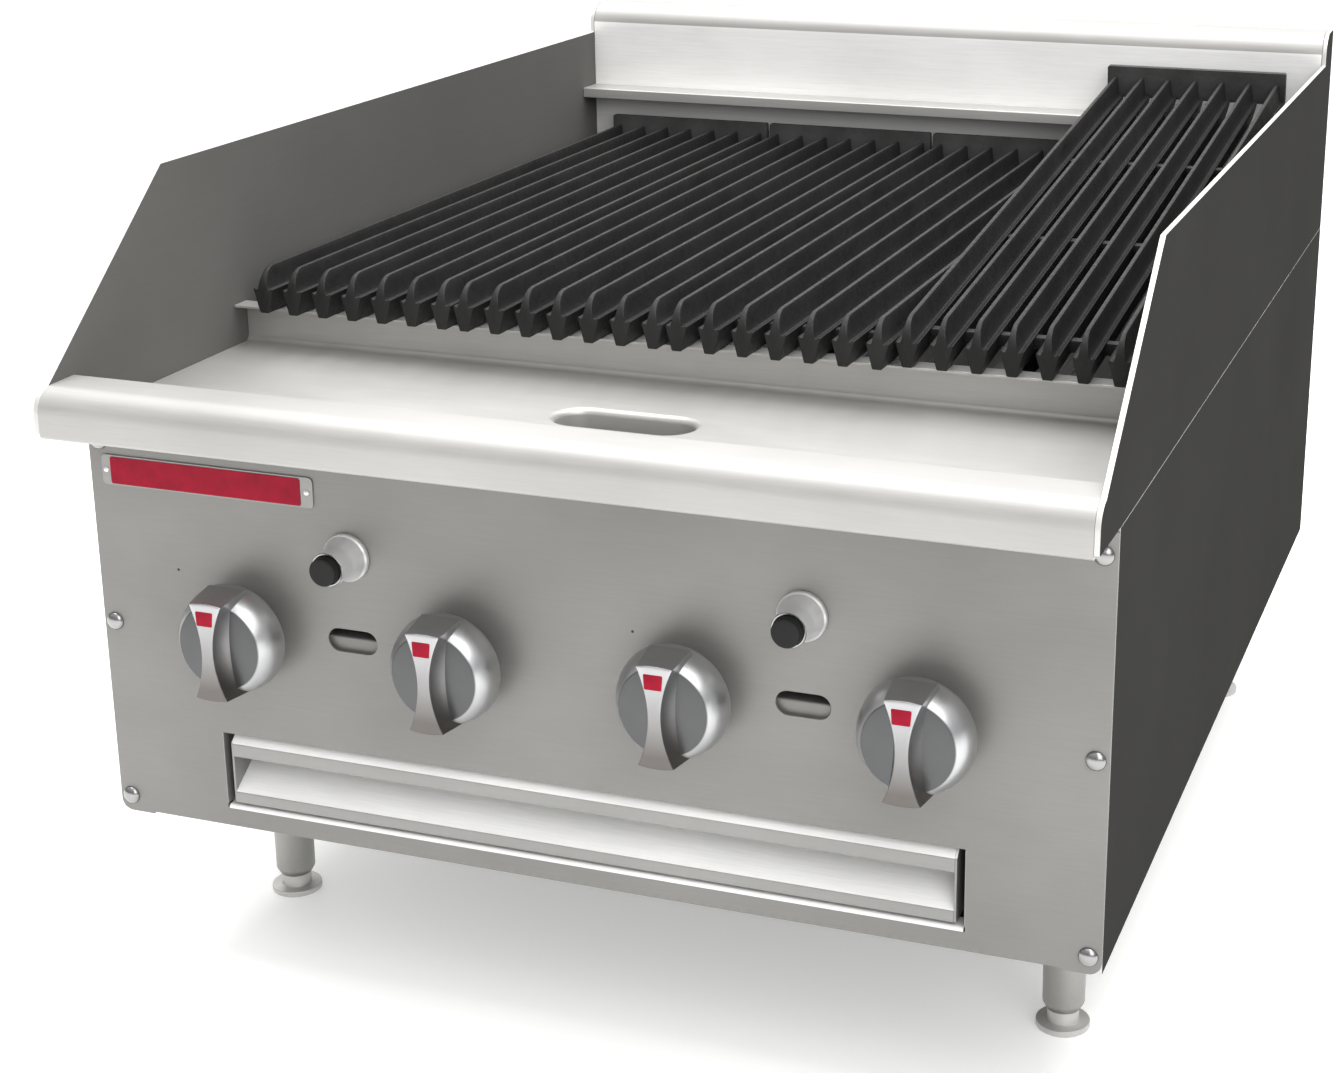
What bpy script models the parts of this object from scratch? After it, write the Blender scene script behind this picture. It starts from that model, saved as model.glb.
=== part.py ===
"""Countertop gas radiant charbroiler, 24 inch class, built as separate sheet, cast and turned parts.

Metres, +Z up. The origin is on the floor at the centre of the plan. The controls face -Y.
"""

from math import cos, pi, radians, sin

import bmesh
import bpy
from mathutils import Matrix, Vector

# Overall size
BODY_WIDTH = 0.610
BODY_DEPTH = 0.757
NOSE = 0.047  # how far the rail stands in front of the control panel
FRONT = -(BODY_DEPTH + NOSE) / 2 + NOSE  # Y of the control panel's face
REAR = FRONT + BODY_DEPTH
HALF_WIDTH = BODY_WIDTH / 2
SHEET = 0.0016
SPLASH_SHEET = 0.0032
GAP = 0.0003

# Heights above the floor
PANEL_BOTTOM = 0.1052
SIDE_BOTTOM = 0.104
SIDE_TOP = 0.3562
DECK_TOP = 0.3590
NOSE_BOTTOM = 0.3550
NOSE_TOP = 0.3835
LEDGE_TOP = 0.3852
SPLASH_TOP = 0.4880
GUARD_TOP = 0.5115

# Depths behind the control panel's face
NOSE_TOP_REAR = -0.0096
LEDGE_LIP = 0.156
LEDGE_WALL = 0.170
GUARD_WALL = 0.722
NOSE_RADIUS = 0.014
GUARD_RADIUS = 0.017
SPLASH_FOOT = -0.0350
SPLASH_CORNER = 0.0895

# Control panel
KNOB_PITCH = 0.137
KNOB_HEIGHT = 0.236
KNOB_X = [KNOB_PITCH * (place - 1.5) for place in range(4)]
IGNITER_HEIGHT = 0.2885
SLOT_HEIGHT = 0.2365
SLOT_LENGTH = 0.0318
SLOT_WIDTH = 0.0142
STEM_RADIUS = 0.004
STEM_HOLE = 0.0055
IGNITER_HOLE = 0.0105
SCREW_X = 0.2975
SCREW_HEIGHTS = (0.1145, 0.2285, 0.3415)
SCREW_RADIUS = 0.0057
SCREW_HOLE = 0.0026
TAB_INNER = 0.2825
PANEL_CORNER = 0.0075
OPENING_HALF = 0.2295
OPENING_BOTTOM = 0.1168
OPENING_TOP = 0.1660
OPENING_FLANGE = 0.010
SCREW_RISE = 0.0034
SCREW_SHANK = 0.006

# Knobs: distances out from the panel's face, and radii
KNOB_BACK = 0.0135
KNOB_RIM = 0.0149
KNOB_FACE = 0.0324
KNOB_RADIUS = 0.0327
KNOB_FACE_RADIUS = 0.0252
KNOB_EDGE = 0.0007
HUB_RADIUS = 0.0085
HUB_BACK = 0.003
HUB_BORE_END = 0.018
STEM_END = 0.0175
GRIP_STEPS = 8
GRIP_BOW = 1.6
# out from the panel, top, bottom, half the waist, half the ends
GRIP_ROOT = (0.020, 0.0310, -0.0300, 0.0090, 0.0128)
GRIP_FRONT = (0.044, 0.0292, -0.0275, 0.0037, 0.0104)

# Valves
VALVE_DEPTH = 0.024
VALVE_LENGTH = 0.032
VALVE_RADIUS = 0.010
VALVE_TAIL_RADIUS = 0.0065
VALVE_TAIL_PLACE = -0.010

# Igniters: distances out from the panel's face, and radii
IGNITER_BORE = 0.0086
IGNITER_BARREL = 0.0100
IGNITER_BARREL_END = 0.0235
IGNITER_STEP = 0.0125
IGNITER_FLANGE = 0.0142
IGNITER_NECK = 0.0096
IGNITER_TAIL = -0.030
BUTTON_RADIUS = 0.0082
BUTTON_FACE = 0.0288
BUTTON_TAIL = -0.018
BUTTON_EDGE = 0.0014

# Front deck's drain slot
DRAIN_PLACE = 0.0825
DRAIN_LENGTH = 0.088
DRAIN_WIDTH = 0.035

# Base pan and tray guides
FLOOR_RISE = 0.004
GUIDE_PLAY = 0.001
GUIDE_LIP = 0.012
GUIDE_OVER_TRAY = 0.006
GUIDE_START = 0.010  # behind the finger pull
TRAY_PLAY = 0.0015

# Drip tray drawer
DRAWER_HALF = 0.2243
DRAWER_TOP = 0.1645
DRAWER_BOTTOM = 0.1208
BAND_TOP = 0.1595
BAND_BOTTOM = 0.1510
BAND_CHAMFER = 0.005
BAND_HEM = 0.002
LIP_TOP = 0.1283
PULL_DEPTH = 0.030
PULL_RISE = 0.0205
TRAY_LENGTH = 0.640
TRAY_HEIGHT = 0.036

# Grates
GRATE_PITCH = 0.1395
GRATE_WIDTH = 0.1370
RIB_PITCH = 0.0207
RIBS = 7
FOOT_BOTTOM_WIDTH = 0.0060
FOOT_TOP_WIDTH = 0.0136
FOOT_HEIGHT = 0.0152
BLADE_WIDTH = 0.0036
GRATE_HEIGHT = 0.0290
GRATE_LENGTH = 0.5605
BLADE_ROUND = 0.013
FLANGE_BOTTOM = 0.0130
FLANGE_TOP = 0.0370
FLANGE_THICK = 0.0050
FLANGE_CORNER = 0.004
WEB_DEPTH = 0.006
WEB_HEIGHT = 0.008
WEB_DROP = 0.001
WEB_PLACES = (0.032, 0.207, 0.382)
GRATE_FRONT = 0.1427
TILT_FRONT = 0.1503
TILT_LIFT = 0.0003
TILT_ANGLE = radians(6.19)

# Rear rails
UPPER_RAIL_FRONT = 0.6966
UPPER_RAIL_TOP = 0.4447
UPPER_RAIL_LIP = 0.0078
REAR_SHELF_FRONT = 0.690
RADIANT_SHELF = 0.298
RADIANT_FLANGE = 0.020
RADIANT_HALF = 0.058
RADIANT_FOLD = 0.048
RADIANT_RISE = 0.042
RADIANT_SHEET = 0.002

# Legs
LEG_X = 0.260
LEG_FRONT = 0.1163
LEG_REAR = 0.645
SLEEVE_RADIUS = 0.0126
SLEEVE_BORE = 0.0099
SLEEVE_BOTTOM = 0.0125
FOOT_STEM_RADIUS = 0.0095
DISC_RADIUS = 0.0162
DISC_THICK = 0.0042
DISC_EDGE = 0.0008
SLEEVE_FLANGE = 0.0170
SLEEVE_FLANGE_THICK = 0.003
SLEEVE_TAPER = 0.004
SLEEVE_TIP = 0.0106
FOOT_STEM_CLEAR = 0.020

# Gas train
BURNER_RADIUS = 0.016
BURNER_WALL = 0.002
BURNER_START = 0.066
BURNER_LENGTH = 0.610
MIXER_MOUTH = 0.0145
MIXER_THROAT = 0.0125
MIXER_THROAT_PLACE = 0.030
MIXER_END = 0.045
PIPE_RADIUS = 0.0134
PIPE_BORE = 0.0105
MANIFOLD_DEPTH = 0.034
MANIFOLD_HEIGHT = 0.206
SUPPLY_X = 0.275
SUPPLY_HEIGHT = 0.206
MANIFOLD_END = 0.020  # past the last valve
INLET_LENGTH = 0.020
INLET_CLEARANCE = 0.001

SEGMENTS = 24
SMALL_SEGMENTS = 16

STAINLESS = ("stainless", (0.62, 0.61, 0.58), 1.0, 0.34)
DARK_SHEET = ("dark_sheet", (0.16, 0.16, 0.15), 0.7, 0.45)
CAST_IRON = ("cast_iron", (0.035, 0.035, 0.034), 0.2, 0.62)
SATIN_CHROME = ("satin_chrome", (0.62, 0.61, 0.60), 1.0, 0.22)
BRIGHT_CHROME = ("bright_chrome", (0.75, 0.75, 0.76), 1.0, 0.10)
BLACK_PLASTIC = ("black_plastic", (0.02, 0.021, 0.02), 0.0, 0.4)
BRASS = ("brass", (0.65, 0.48, 0.22), 1.0, 0.3)
BLACK_PIPE = ("black_pipe", (0.06, 0.06, 0.06), 0.4, 0.55)
ALUMINISED = ("aluminised_steel", (0.45, 0.45, 0.44), 0.9, 0.45)

ALONG_Y = Matrix.Rotation(-pi / 2, 4, "X")  # turns +Z to +Y
ALONG_X = Matrix.Rotation(pi / 2, 4, "Y")  # turns +Z to +X
TOWARDS_USER = Matrix.Rotation(pi / 2, 4, "X")  # turns +Z to -Y


def clear_scene():
    for obj in list(bpy.data.objects):
        bpy.data.objects.remove(obj, do_unlink=True)


def new_collection(name):
    collection = bpy.data.collections.new(name)
    bpy.context.scene.collection.children.link(collection)
    return collection


def material(look):
    name, colour, metallic, roughness = look
    made = bpy.data.materials.get(name)
    if made:
        return made
    made = bpy.data.materials.new(name)
    made.use_nodes = True
    shader = made.node_tree.nodes["Principled BSDF"]
    shader.inputs["Base Color"].default_value = (*colour, 1.0)
    shader.inputs["Metallic"].default_value = metallic
    shader.inputs["Roughness"].default_value = roughness
    return made


def place(name, mesh, look, matrix=None):
    """Adds a mesh to the object's collection under its part name."""
    obj = bpy.data.objects.new(name, mesh)
    parts.objects.link(obj)
    if not mesh.materials:
        mesh.materials.append(material(look))
    if matrix is not None:
        obj.matrix_world = matrix
    return obj


def helper(name, mesh, matrix=None):
    """Adds a mesh that a Boolean uses and that isn't a part."""
    obj = bpy.data.objects.new(name, mesh)
    cutters.objects.link(obj)
    obj.hide_render = True
    obj.display_type = "WIRE"
    if matrix is not None:
        obj.matrix_world = matrix
    return obj


def evaluated_mesh(obj, name):
    """The object's mesh with its modifiers and its place applied, and the object itself removed."""
    bpy.context.view_layer.update()
    graph = bpy.context.evaluated_depsgraph_get()
    mesh = bpy.data.meshes.new_from_object(obj.evaluated_get(graph))
    mesh.name = name
    mesh.transform(obj.matrix_world)
    shape = bmesh.new()
    shape.from_mesh(mesh)
    bmesh.ops.remove_doubles(shape, verts=shape.verts, dist=1e-6)
    shape.to_mesh(mesh)
    shape.free()
    bpy.data.objects.remove(obj, do_unlink=True)
    return mesh


def flat_mesh(name, outline, thickness, holes=()):
    """A plate in the XY plane, centred on it, from an outline and the outlines of its holes."""
    curve = bpy.data.curves.new(name, "CURVE")
    curve.dimensions = "2D"
    curve.fill_mode = "BOTH"
    curve.extrude = thickness / 2
    for loop in (outline, *holes):
        spline = curve.splines.new("POLY")
        spline.points.add(len(loop) - 1)
        for point, (x, y) in zip(spline.points, loop):
            point.co = (x, y, 0.0, 1.0)
        spline.use_cyclic_u = True
    obj = bpy.data.objects.new(name, curve)
    cutters.objects.link(obj)
    return evaluated_mesh(obj, name)


def yz_plate(x_centre):
    """The matrix that stands a flat mesh, drawn in (depth, height), across X at x_centre."""
    turn = Matrix(((0, 0, 1, 0), (1, 0, 0, 0), (0, 1, 0, 0), (0, 0, 0, 1)))
    return Matrix.Translation((x_centre, 0, 0)) @ turn


def swept_mesh(name, line, sweep):
    """An open surface: a line of points pulled along a straight sweep."""
    shape = bmesh.new()
    points = [shape.verts.new(point) for point in line]
    edges = [shape.edges.new(pair) for pair in zip(points, points[1:])]
    pulled = bmesh.ops.extrude_edge_only(shape, edges=edges)["geom"]
    moved = [item for item in pulled if isinstance(item, bmesh.types.BMVert)]
    bmesh.ops.translate(shape, verts=moved, vec=sweep)
    mesh = bpy.data.meshes.new(name)
    shape.to_mesh(mesh)
    shape.free()
    return mesh


def thicken(obj, thickness, side):
    solid = obj.modifiers.new("thickness", "SOLIDIFY")
    solid.thickness = thickness
    solid.offset = side
    solid.use_even_offset = True


def bent_sheet(name, profile, x_start, x_end, look, side):
    """A folded sheet: a (depth, height) profile run along X and thickened to one side."""
    line = [(x_start, FRONT + depth, height) for depth, height in profile]
    obj = place(name, swept_mesh(name, line, (x_end - x_start, 0, 0)), look)
    thicken(obj, SHEET, side)


def turned_mesh(name, profile, steps=SEGMENTS, closed=False):
    """A turned shape about Z from (radius, height) points that run down its outer side."""
    shape = bmesh.new()
    points = [shape.verts.new((radius, 0.0, height)) for radius, height in profile]
    for first, second in zip(points, points[1:]):
        shape.edges.new((first, second))
    if closed:
        shape.edges.new((points[-1], points[0]))
    mesh = bpy.data.meshes.new(name)
    shape.to_mesh(mesh)
    shape.free()
    obj = bpy.data.objects.new(name, mesh)
    cutters.objects.link(obj)
    screw = obj.modifiers.new("turn", "SCREW")
    screw.steps = steps
    screw.render_steps = steps
    screw.use_merge_vertices = True
    screw.merge_threshold = 1e-6
    made = evaluated_mesh(obj, name)
    made.shade_smooth()
    made.set_sharp_from_angle(angle=radians(35))
    return made


def box_mesh(name, size):
    shape = bmesh.new()
    bmesh.ops.create_cube(shape, size=1.0, matrix=Matrix.Diagonal((*size, 1.0)))
    mesh = bpy.data.meshes.new(name)
    shape.to_mesh(mesh)
    shape.free()
    return mesh


def joined(name, base, others, operation="UNION"):
    """The mesh of one helper object after a Boolean with each of the others."""
    for index, other in enumerate(others):
        step = base.modifiers.new(f"{operation.lower()}_{index}", "BOOLEAN")
        step.operation = operation
        step.solver = "EXACT"
        step.object = other
    mesh = evaluated_mesh(base, name)
    for other in others:
        bpy.data.objects.remove(other, do_unlink=True)
    return mesh


def arc(centre, radius, start, end, steps):
    """Points on an arc, with angles in degrees, ends included."""
    angles = (radians(start + (end - start) * step / steps) for step in range(steps + 1))
    return [(centre[0] + radius * cos(a), centre[1] + radius * sin(a)) for a in angles]


def circle(centre, radius, steps=SMALL_SEGMENTS):
    return arc(centre, radius, 0, 360 * (steps - 1) / steps, steps - 1)


def obround(centre, length, width, steps=6):
    """The outline of a slot with round ends, along the first axis."""
    x, y = centre
    reach = (length - width) / 2
    right = arc((x + reach, y), width / 2, -90, 90, steps)
    left = arc((x - reach, y), width / 2, 90, 270, steps)
    return right + left


def nose_arc():
    """The rail's quarter-round front, from the vertical face up to the flat top."""
    centre = (-NOSE + NOSE_RADIUS, NOSE_TOP - NOSE_RADIUS)
    return arc(centre, NOSE_RADIUS, 180, 90, 6)


def guard_arc():
    """The back guard's rounded top front edge, going up."""
    centre = (GUARD_WALL + GUARD_RADIUS, GUARD_TOP - GUARD_RADIUS)
    return arc(centre, GUARD_RADIUS, 180, 90, 6)


def front_panel():
    corner = PANEL_CORNER
    half = HALF_WIDTH
    low = arc((-half + corner, SIDE_BOTTOM + corner), corner, 180, 270, 4)
    low += [(-TAB_INNER, SIDE_BOTTOM), (-TAB_INNER, PANEL_BOTTOM), (TAB_INNER, PANEL_BOTTOM)]
    low += [(TAB_INNER, SIDE_BOTTOM)]
    low += arc((half - corner, SIDE_BOTTOM + corner), corner, 270, 360, 4)
    outline = low + [(half, NOSE_BOTTOM - GAP), (-half, NOSE_BOTTOM - GAP)]
    holes = [circle((x, KNOB_HEIGHT), STEM_HOLE) for x in KNOB_X]
    for side in (-1, 1):
        holes.append(circle((side * KNOB_PITCH, IGNITER_HEIGHT), IGNITER_HOLE))
        holes.append(obround((side * KNOB_PITCH, SLOT_HEIGHT), SLOT_LENGTH, SLOT_WIDTH))
        holes += [circle((side * SCREW_X, height), SCREW_HOLE, 8) for height in SCREW_HEIGHTS]
    holes.append(
        [
            (-OPENING_HALF, OPENING_BOTTOM),
            (OPENING_HALF, OPENING_BOTTOM),
            (OPENING_HALF, OPENING_TOP),
            (-OPENING_HALF, OPENING_TOP),
        ]
    )
    plate = helper("panel_plate", flat_mesh("panel_plate", outline, SHEET, holes))
    plate.matrix_world = Matrix.Translation((0, FRONT + SHEET / 2, 0)) @ TOWARDS_USER
    flanges = []
    depth = OPENING_FLANGE + SHEET / 2
    centre_y = FRONT + SHEET / 2 + depth / 2
    height = (OPENING_TOP + OPENING_BOTTOM) / 2
    for index, (x, z, size) in enumerate(
        (
            (0, OPENING_BOTTOM - SHEET / 2, (2 * OPENING_HALF + 2 * SHEET, depth, SHEET)),
            (-OPENING_HALF - SHEET / 2, height, (SHEET, depth, OPENING_TOP - OPENING_BOTTOM + SHEET)),
            (OPENING_HALF + SHEET / 2, height, (SHEET, depth, OPENING_TOP - OPENING_BOTTOM + SHEET)),
        )
    ):
        mesh = box_mesh(f"flange_{index}", size)
        flanges.append(helper(f"flange_{index}", mesh, Matrix.Translation((x, centre_y, z))))
    place("front_panel", joined("front_panel", plate, flanges), STAINLESS)


def body_sheets():
    inner = REAR - FRONT
    side = [
        (SHEET + GAP, SIDE_BOTTOM),
        (inner, SIDE_BOTTOM),
        (inner, SIDE_TOP),
        (SHEET + GAP, SIDE_TOP),
    ]
    outline = [(FRONT + depth, height) for depth, height in side]
    for name, sign in (("side_panel_left", -1), ("side_panel_right", 1)):
        mesh = flat_mesh(name, outline, SHEET)
        place(name, mesh, DARK_SHEET, yz_plate(sign * (HALF_WIDTH - SHEET / 2)))
    half = HALF_WIDTH - SHEET - GAP
    rear = [(-half, SIDE_BOTTOM), (half, SIDE_BOTTOM), (half, SIDE_TOP), (-half, SIDE_TOP)]
    inlet = circle((-SUPPLY_X, SUPPLY_HEIGHT), PIPE_RADIUS + INLET_CLEARANCE)
    mesh = flat_mesh("rear_panel", rear, SHEET, [inlet])
    place("rear_panel", mesh, ALUMINISED, Matrix.Translation((0, REAR - SHEET / 2, 0)) @ TOWARDS_USER)


def base_pan():
    """The floor of the body, folded up on both sides into the guides that the drip tray runs in."""
    guide = OPENING_HALF + SHEET + GUIDE_PLAY
    lip = guide - GUIDE_LIP
    rise = OPENING_BOTTOM + TRAY_HEIGHT + GUIDE_OVER_TRAY
    floor = SIDE_BOTTOM + FLOOR_RISE
    half = HALF_WIDTH - SHEET - GAP
    start = FRONT + OPENING_FLANGE + SHEET + GAP
    end = REAR - SHEET - GAP
    behind_pull = FRONT + PULL_DEPTH + GUIDE_START
    plate = box_mesh("base_plate", (2 * half, end - start, SHEET))
    base = helper("base_plate", plate, Matrix.Translation((0, (start + end) / 2, floor - SHEET / 2)))
    guides = []
    for sign in (-1, 1):
        wall = box_mesh("guide_wall", (SHEET, end - start, rise - floor + SHEET / 2))
        where = (sign * (guide + SHEET / 2), (start + end) / 2, (rise + floor - SHEET / 2) / 2)
        guides.append(helper("guide_wall", wall, Matrix.Translation(where)))
        top = box_mesh("guide_top", (guide + SHEET - lip, end - behind_pull, SHEET))
        where = (sign * (guide + SHEET + lip) / 2, (behind_pull + end) / 2, rise)
        guides.append(helper("guide_top", top, Matrix.Translation(where)))
    place("base_pan", joined("base_pan", base, guides), ALUMINISED)


def top_sheets():
    inside = HALF_WIDTH - SPLASH_SHEET - GAP
    nose = [(NOSE_TOP_REAR, DECK_TOP + GAP), (NOSE_TOP_REAR, NOSE_TOP)]
    nose += list(reversed(nose_arc()))
    nose += [(-NOSE, NOSE_BOTTOM), (SHEET, NOSE_BOTTOM)]
    bent_sheet("bullnose_rail", nose, -inside, inside, STAINLESS, side=1)
    start, end = NOSE_TOP_REAR + GAP, LEDGE_WALL - GAP
    middle = (start + end) / 2
    deck = [(-inside, start), (inside, start), (inside, end), (-inside, end)]
    drain = obround((0, DRAIN_PLACE), DRAIN_LENGTH, DRAIN_WIDTH, 8)
    mesh = flat_mesh("front_deck", deck, SHEET, [drain])
    place("front_deck", mesh, STAINLESS, Matrix.Translation((0, FRONT, DECK_TOP - SHEET / 2)))
    wall = LEDGE_WALL + SHEET
    ledge = [(LEDGE_LIP, LEDGE_TOP), (wall, LEDGE_TOP), (wall, RADIANT_SHELF)]
    ledge += [(wall + RADIANT_FLANGE, RADIANT_SHELF)]
    bent_sheet("front_grate_ledge", ledge, -inside, inside, STAINLESS, side=-1)
    shelf = [
        (GUARD_WALL - GAP, LEDGE_TOP),
        (REAR_SHELF_FRONT, LEDGE_TOP),
        (REAR_SHELF_FRONT, RADIANT_SHELF),
        (REAR_SHELF_FRONT - RADIANT_FLANGE, RADIANT_SHELF),
    ]
    bent_sheet("rear_grate_ledge", shelf, -inside, inside, ALUMINISED, side=1)
    rail = [
        (GUARD_WALL - GAP, UPPER_RAIL_TOP),
        (UPPER_RAIL_FRONT, UPPER_RAIL_TOP),
        (UPPER_RAIL_FRONT, UPPER_RAIL_TOP - UPPER_RAIL_LIP),
    ]
    bent_sheet("upper_grate_rail", rail, -inside, inside, STAINLESS, side=1)
    guard = [(GUARD_WALL, SIDE_TOP + GAP)] + guard_arc()
    guard += [(BODY_DEPTH, GUARD_TOP), (BODY_DEPTH, SIDE_TOP + GAP)]
    bent_sheet("back_guard", guard, -inside, inside, STAINLESS, side=-1)
    splash_guards()


def splash_guards():
    """Each side's sheet also caps the ends of the front rail and of the back guard."""
    outline = [(-NOSE, NOSE_BOTTOM + 0.0025)]
    outline += [point for point in nose_arc() if point[0] < SPLASH_FOOT]
    outline += [(SPLASH_FOOT, NOSE_TOP), (SPLASH_CORNER, SPLASH_TOP)]
    outline += [(GUARD_WALL, SPLASH_TOP)] + guard_arc()
    outline += [(BODY_DEPTH, GUARD_TOP), (BODY_DEPTH, SIDE_TOP + GAP), (0.0, SIDE_TOP + GAP)]
    outline = [(FRONT + depth, height) for depth, height in outline]
    for name, sign in (("splash_guard_left", -1), ("splash_guard_right", 1)):
        mesh = flat_mesh(name, outline, SPLASH_SHEET)
        place(name, mesh, DARK_SHEET, yz_plate(sign * (HALF_WIDTH - SPLASH_SHEET / 2)))


def grate_mesh():
    """One cast grate: seven blades on tapered feet, cross webs and an upright rear flange."""
    span = RIB_PITCH * (RIBS - 1)
    rib_end = GRATE_LENGTH + FLANGE_THICK / 2
    foot = [
        (-FOOT_BOTTOM_WIDTH / 2, 0.0),
        (FOOT_BOTTOM_WIDTH / 2, 0.0),
        (FOOT_TOP_WIDTH / 2, FOOT_HEIGHT),
        (-FOOT_TOP_WIDTH / 2, FOOT_HEIGHT),
    ]
    blade = [(rib_end, FOOT_HEIGHT / 2), (rib_end, GRATE_HEIGHT)]
    blade += arc((BLADE_ROUND, GRATE_HEIGHT - BLADE_ROUND), BLADE_ROUND, 90, 180, 4)
    blade += [(0.0, FOOT_HEIGHT / 2)]
    pieces = []
    for rib in range(RIBS):
        x = rib * RIB_PITCH - span / 2
        mesh = flat_mesh("rib_foot", foot, rib_end)
        stand = Matrix.Translation((x, rib_end / 2, 0)) @ TOWARDS_USER
        pieces.append(helper("rib_foot", mesh, stand))
        mesh = flat_mesh("rib_blade", blade, BLADE_WIDTH)
        pieces.append(helper("rib_blade", mesh, yz_plate(x)))
    for place_y in WEB_PLACES:
        mesh = box_mesh("web", (span, WEB_DEPTH, WEB_HEIGHT))
        where = (0, place_y, FOOT_HEIGHT - WEB_DROP - WEB_HEIGHT / 2)
        pieces.append(helper("web", mesh, Matrix.Translation(where)))
    half, radius = GRATE_WIDTH / 2, FLANGE_CORNER
    flange = [(-half, FLANGE_BOTTOM), (half, FLANGE_BOTTOM)]
    flange += arc((half - radius, FLANGE_TOP - radius), radius, 0, 90, 2)
    flange += arc((-half + radius, FLANGE_TOP - radius), radius, 90, 180, 2)
    mesh = flat_mesh("rear_flange", flange, FLANGE_THICK)
    stand = Matrix.Translation((0, rib_end, 0)) @ TOWARDS_USER
    base = helper("rear_flange", mesh, stand)
    return joined("grate", base, pieces)


def grates():
    mesh = grate_mesh()
    for index in range(4):
        x = GRATE_PITCH * (index - 1.5)
        where = Matrix.Translation((x, FRONT + GRATE_FRONT, LEDGE_TOP + GAP))
        if index == 3:
            where = Matrix.Translation((x, FRONT + TILT_FRONT, LEDGE_TOP + GAP + TILT_LIFT))
            where = where @ Matrix.Rotation(TILT_ANGLE, 4, "X")
        place(f"grate_{index + 1}", mesh, CAST_IRON, where)


def knob_mesh():
    """A domed round body with a blind bore for the stem, and a waisted grip that stands off its face."""
    drop = KNOB_RADIUS - KNOB_FACE_RADIUS
    rise = KNOB_FACE - KNOB_RIM
    body = [(0.0, KNOB_FACE), (KNOB_FACE_RADIUS, KNOB_FACE)]
    for angle in (35, 65, 90):
        turn = radians(angle)
        body.append((KNOB_FACE_RADIUS + drop * sin(turn), KNOB_FACE - rise * (1 - cos(turn))))
    body += [(KNOB_RADIUS - KNOB_EDGE, KNOB_BACK), (HUB_RADIUS, KNOB_BACK), (HUB_RADIUS, HUB_BACK)]
    body += [(STEM_RADIUS + GAP, HUB_BACK), (STEM_RADIUS + GAP, HUB_BORE_END), (0.0, HUB_BORE_END)]
    base = helper("knob_body", turned_mesh("knob_body", body))
    shape = bmesh.new()
    rings = []
    for level, top, bottom, waist, wide in (GRIP_ROOT, GRIP_FRONT):
        ring = []
        for sign in (1, -1):
            for step in range(GRIP_STEPS + 1):
                along = step / GRIP_STEPS if sign == 1 else 1 - step / GRIP_STEPS
                z = top + (bottom - top) * along
                bow = abs(2 * along - 1) ** GRIP_BOW
                x = sign * (waist + (wide - waist) * bow)
                ring.append(shape.verts.new((x, z, level)))
        rings.append(ring)
    edges = []
    for ring in rings:
        edges += [shape.edges.new((a, b)) for a, b in zip(ring, ring[1:] + ring[:1])]
    bmesh.ops.bridge_loops(shape, edges=edges)
    bmesh.ops.holes_fill(shape, edges=shape.edges)
    bmesh.ops.recalc_face_normals(shape, faces=shape.faces)
    mesh = bpy.data.meshes.new("knob_grip")
    shape.to_mesh(mesh)
    shape.free()
    return joined("knob", base, [helper("knob_grip", mesh)])


def knobs_and_valves():
    knob = knob_mesh()
    knob.shade_smooth()
    knob.set_sharp_from_angle(angle=radians(35))
    stem_back = GAP - VALVE_DEPTH
    stem = [(0.0, STEM_END), (STEM_RADIUS, STEM_END), (STEM_RADIUS, stem_back), (0.0, stem_back)]
    stem_mesh = turned_mesh("valve_stem", stem, SMALL_SEGMENTS)
    nose, shoulder, wall_end, spigot_start = 0.006, -0.002, -0.022, -0.026
    spigot = 0.0045
    barrel = [(0.0, 0.0), (nose, 0.0), (VALVE_RADIUS, shoulder), (VALVE_RADIUS, wall_end)]
    barrel += [(spigot, spigot_start), (spigot, -VALVE_LENGTH), (0.0, -VALVE_LENGTH)]
    body = helper("valve_barrel", turned_mesh("valve_barrel", barrel, SMALL_SEGMENTS))
    drop = KNOB_HEIGHT - MANIFOLD_HEIGHT - PIPE_RADIUS - GAP
    tail = [(0.0, 0.0), (VALVE_TAIL_RADIUS, 0.0), (VALVE_TAIL_RADIUS, -drop), (0.0, -drop)]
    tail_place = Matrix.Translation((0, 0, VALVE_TAIL_PLACE)) @ Matrix.Rotation(-pi / 2, 4, "X")
    tail_object = helper("valve_tail", turned_mesh("valve_tail", tail, SMALL_SEGMENTS), tail_place)
    valve_mesh = joined("valve", body, [tail_object])
    for index, x in enumerate(KNOB_X, 1):
        at_panel = Matrix.Translation((x, FRONT, KNOB_HEIGHT)) @ TOWARDS_USER
        place(f"knob_{index}", knob, SATIN_CHROME, at_panel)
        place(f"valve_stem_{index}", stem_mesh, BRASS, at_panel)
        at_valve = Matrix.Translation((x, FRONT + VALVE_DEPTH, KNOB_HEIGHT)) @ TOWARDS_USER
        place(f"valve_{index}", valve_mesh, BRASS, at_valve)


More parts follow.
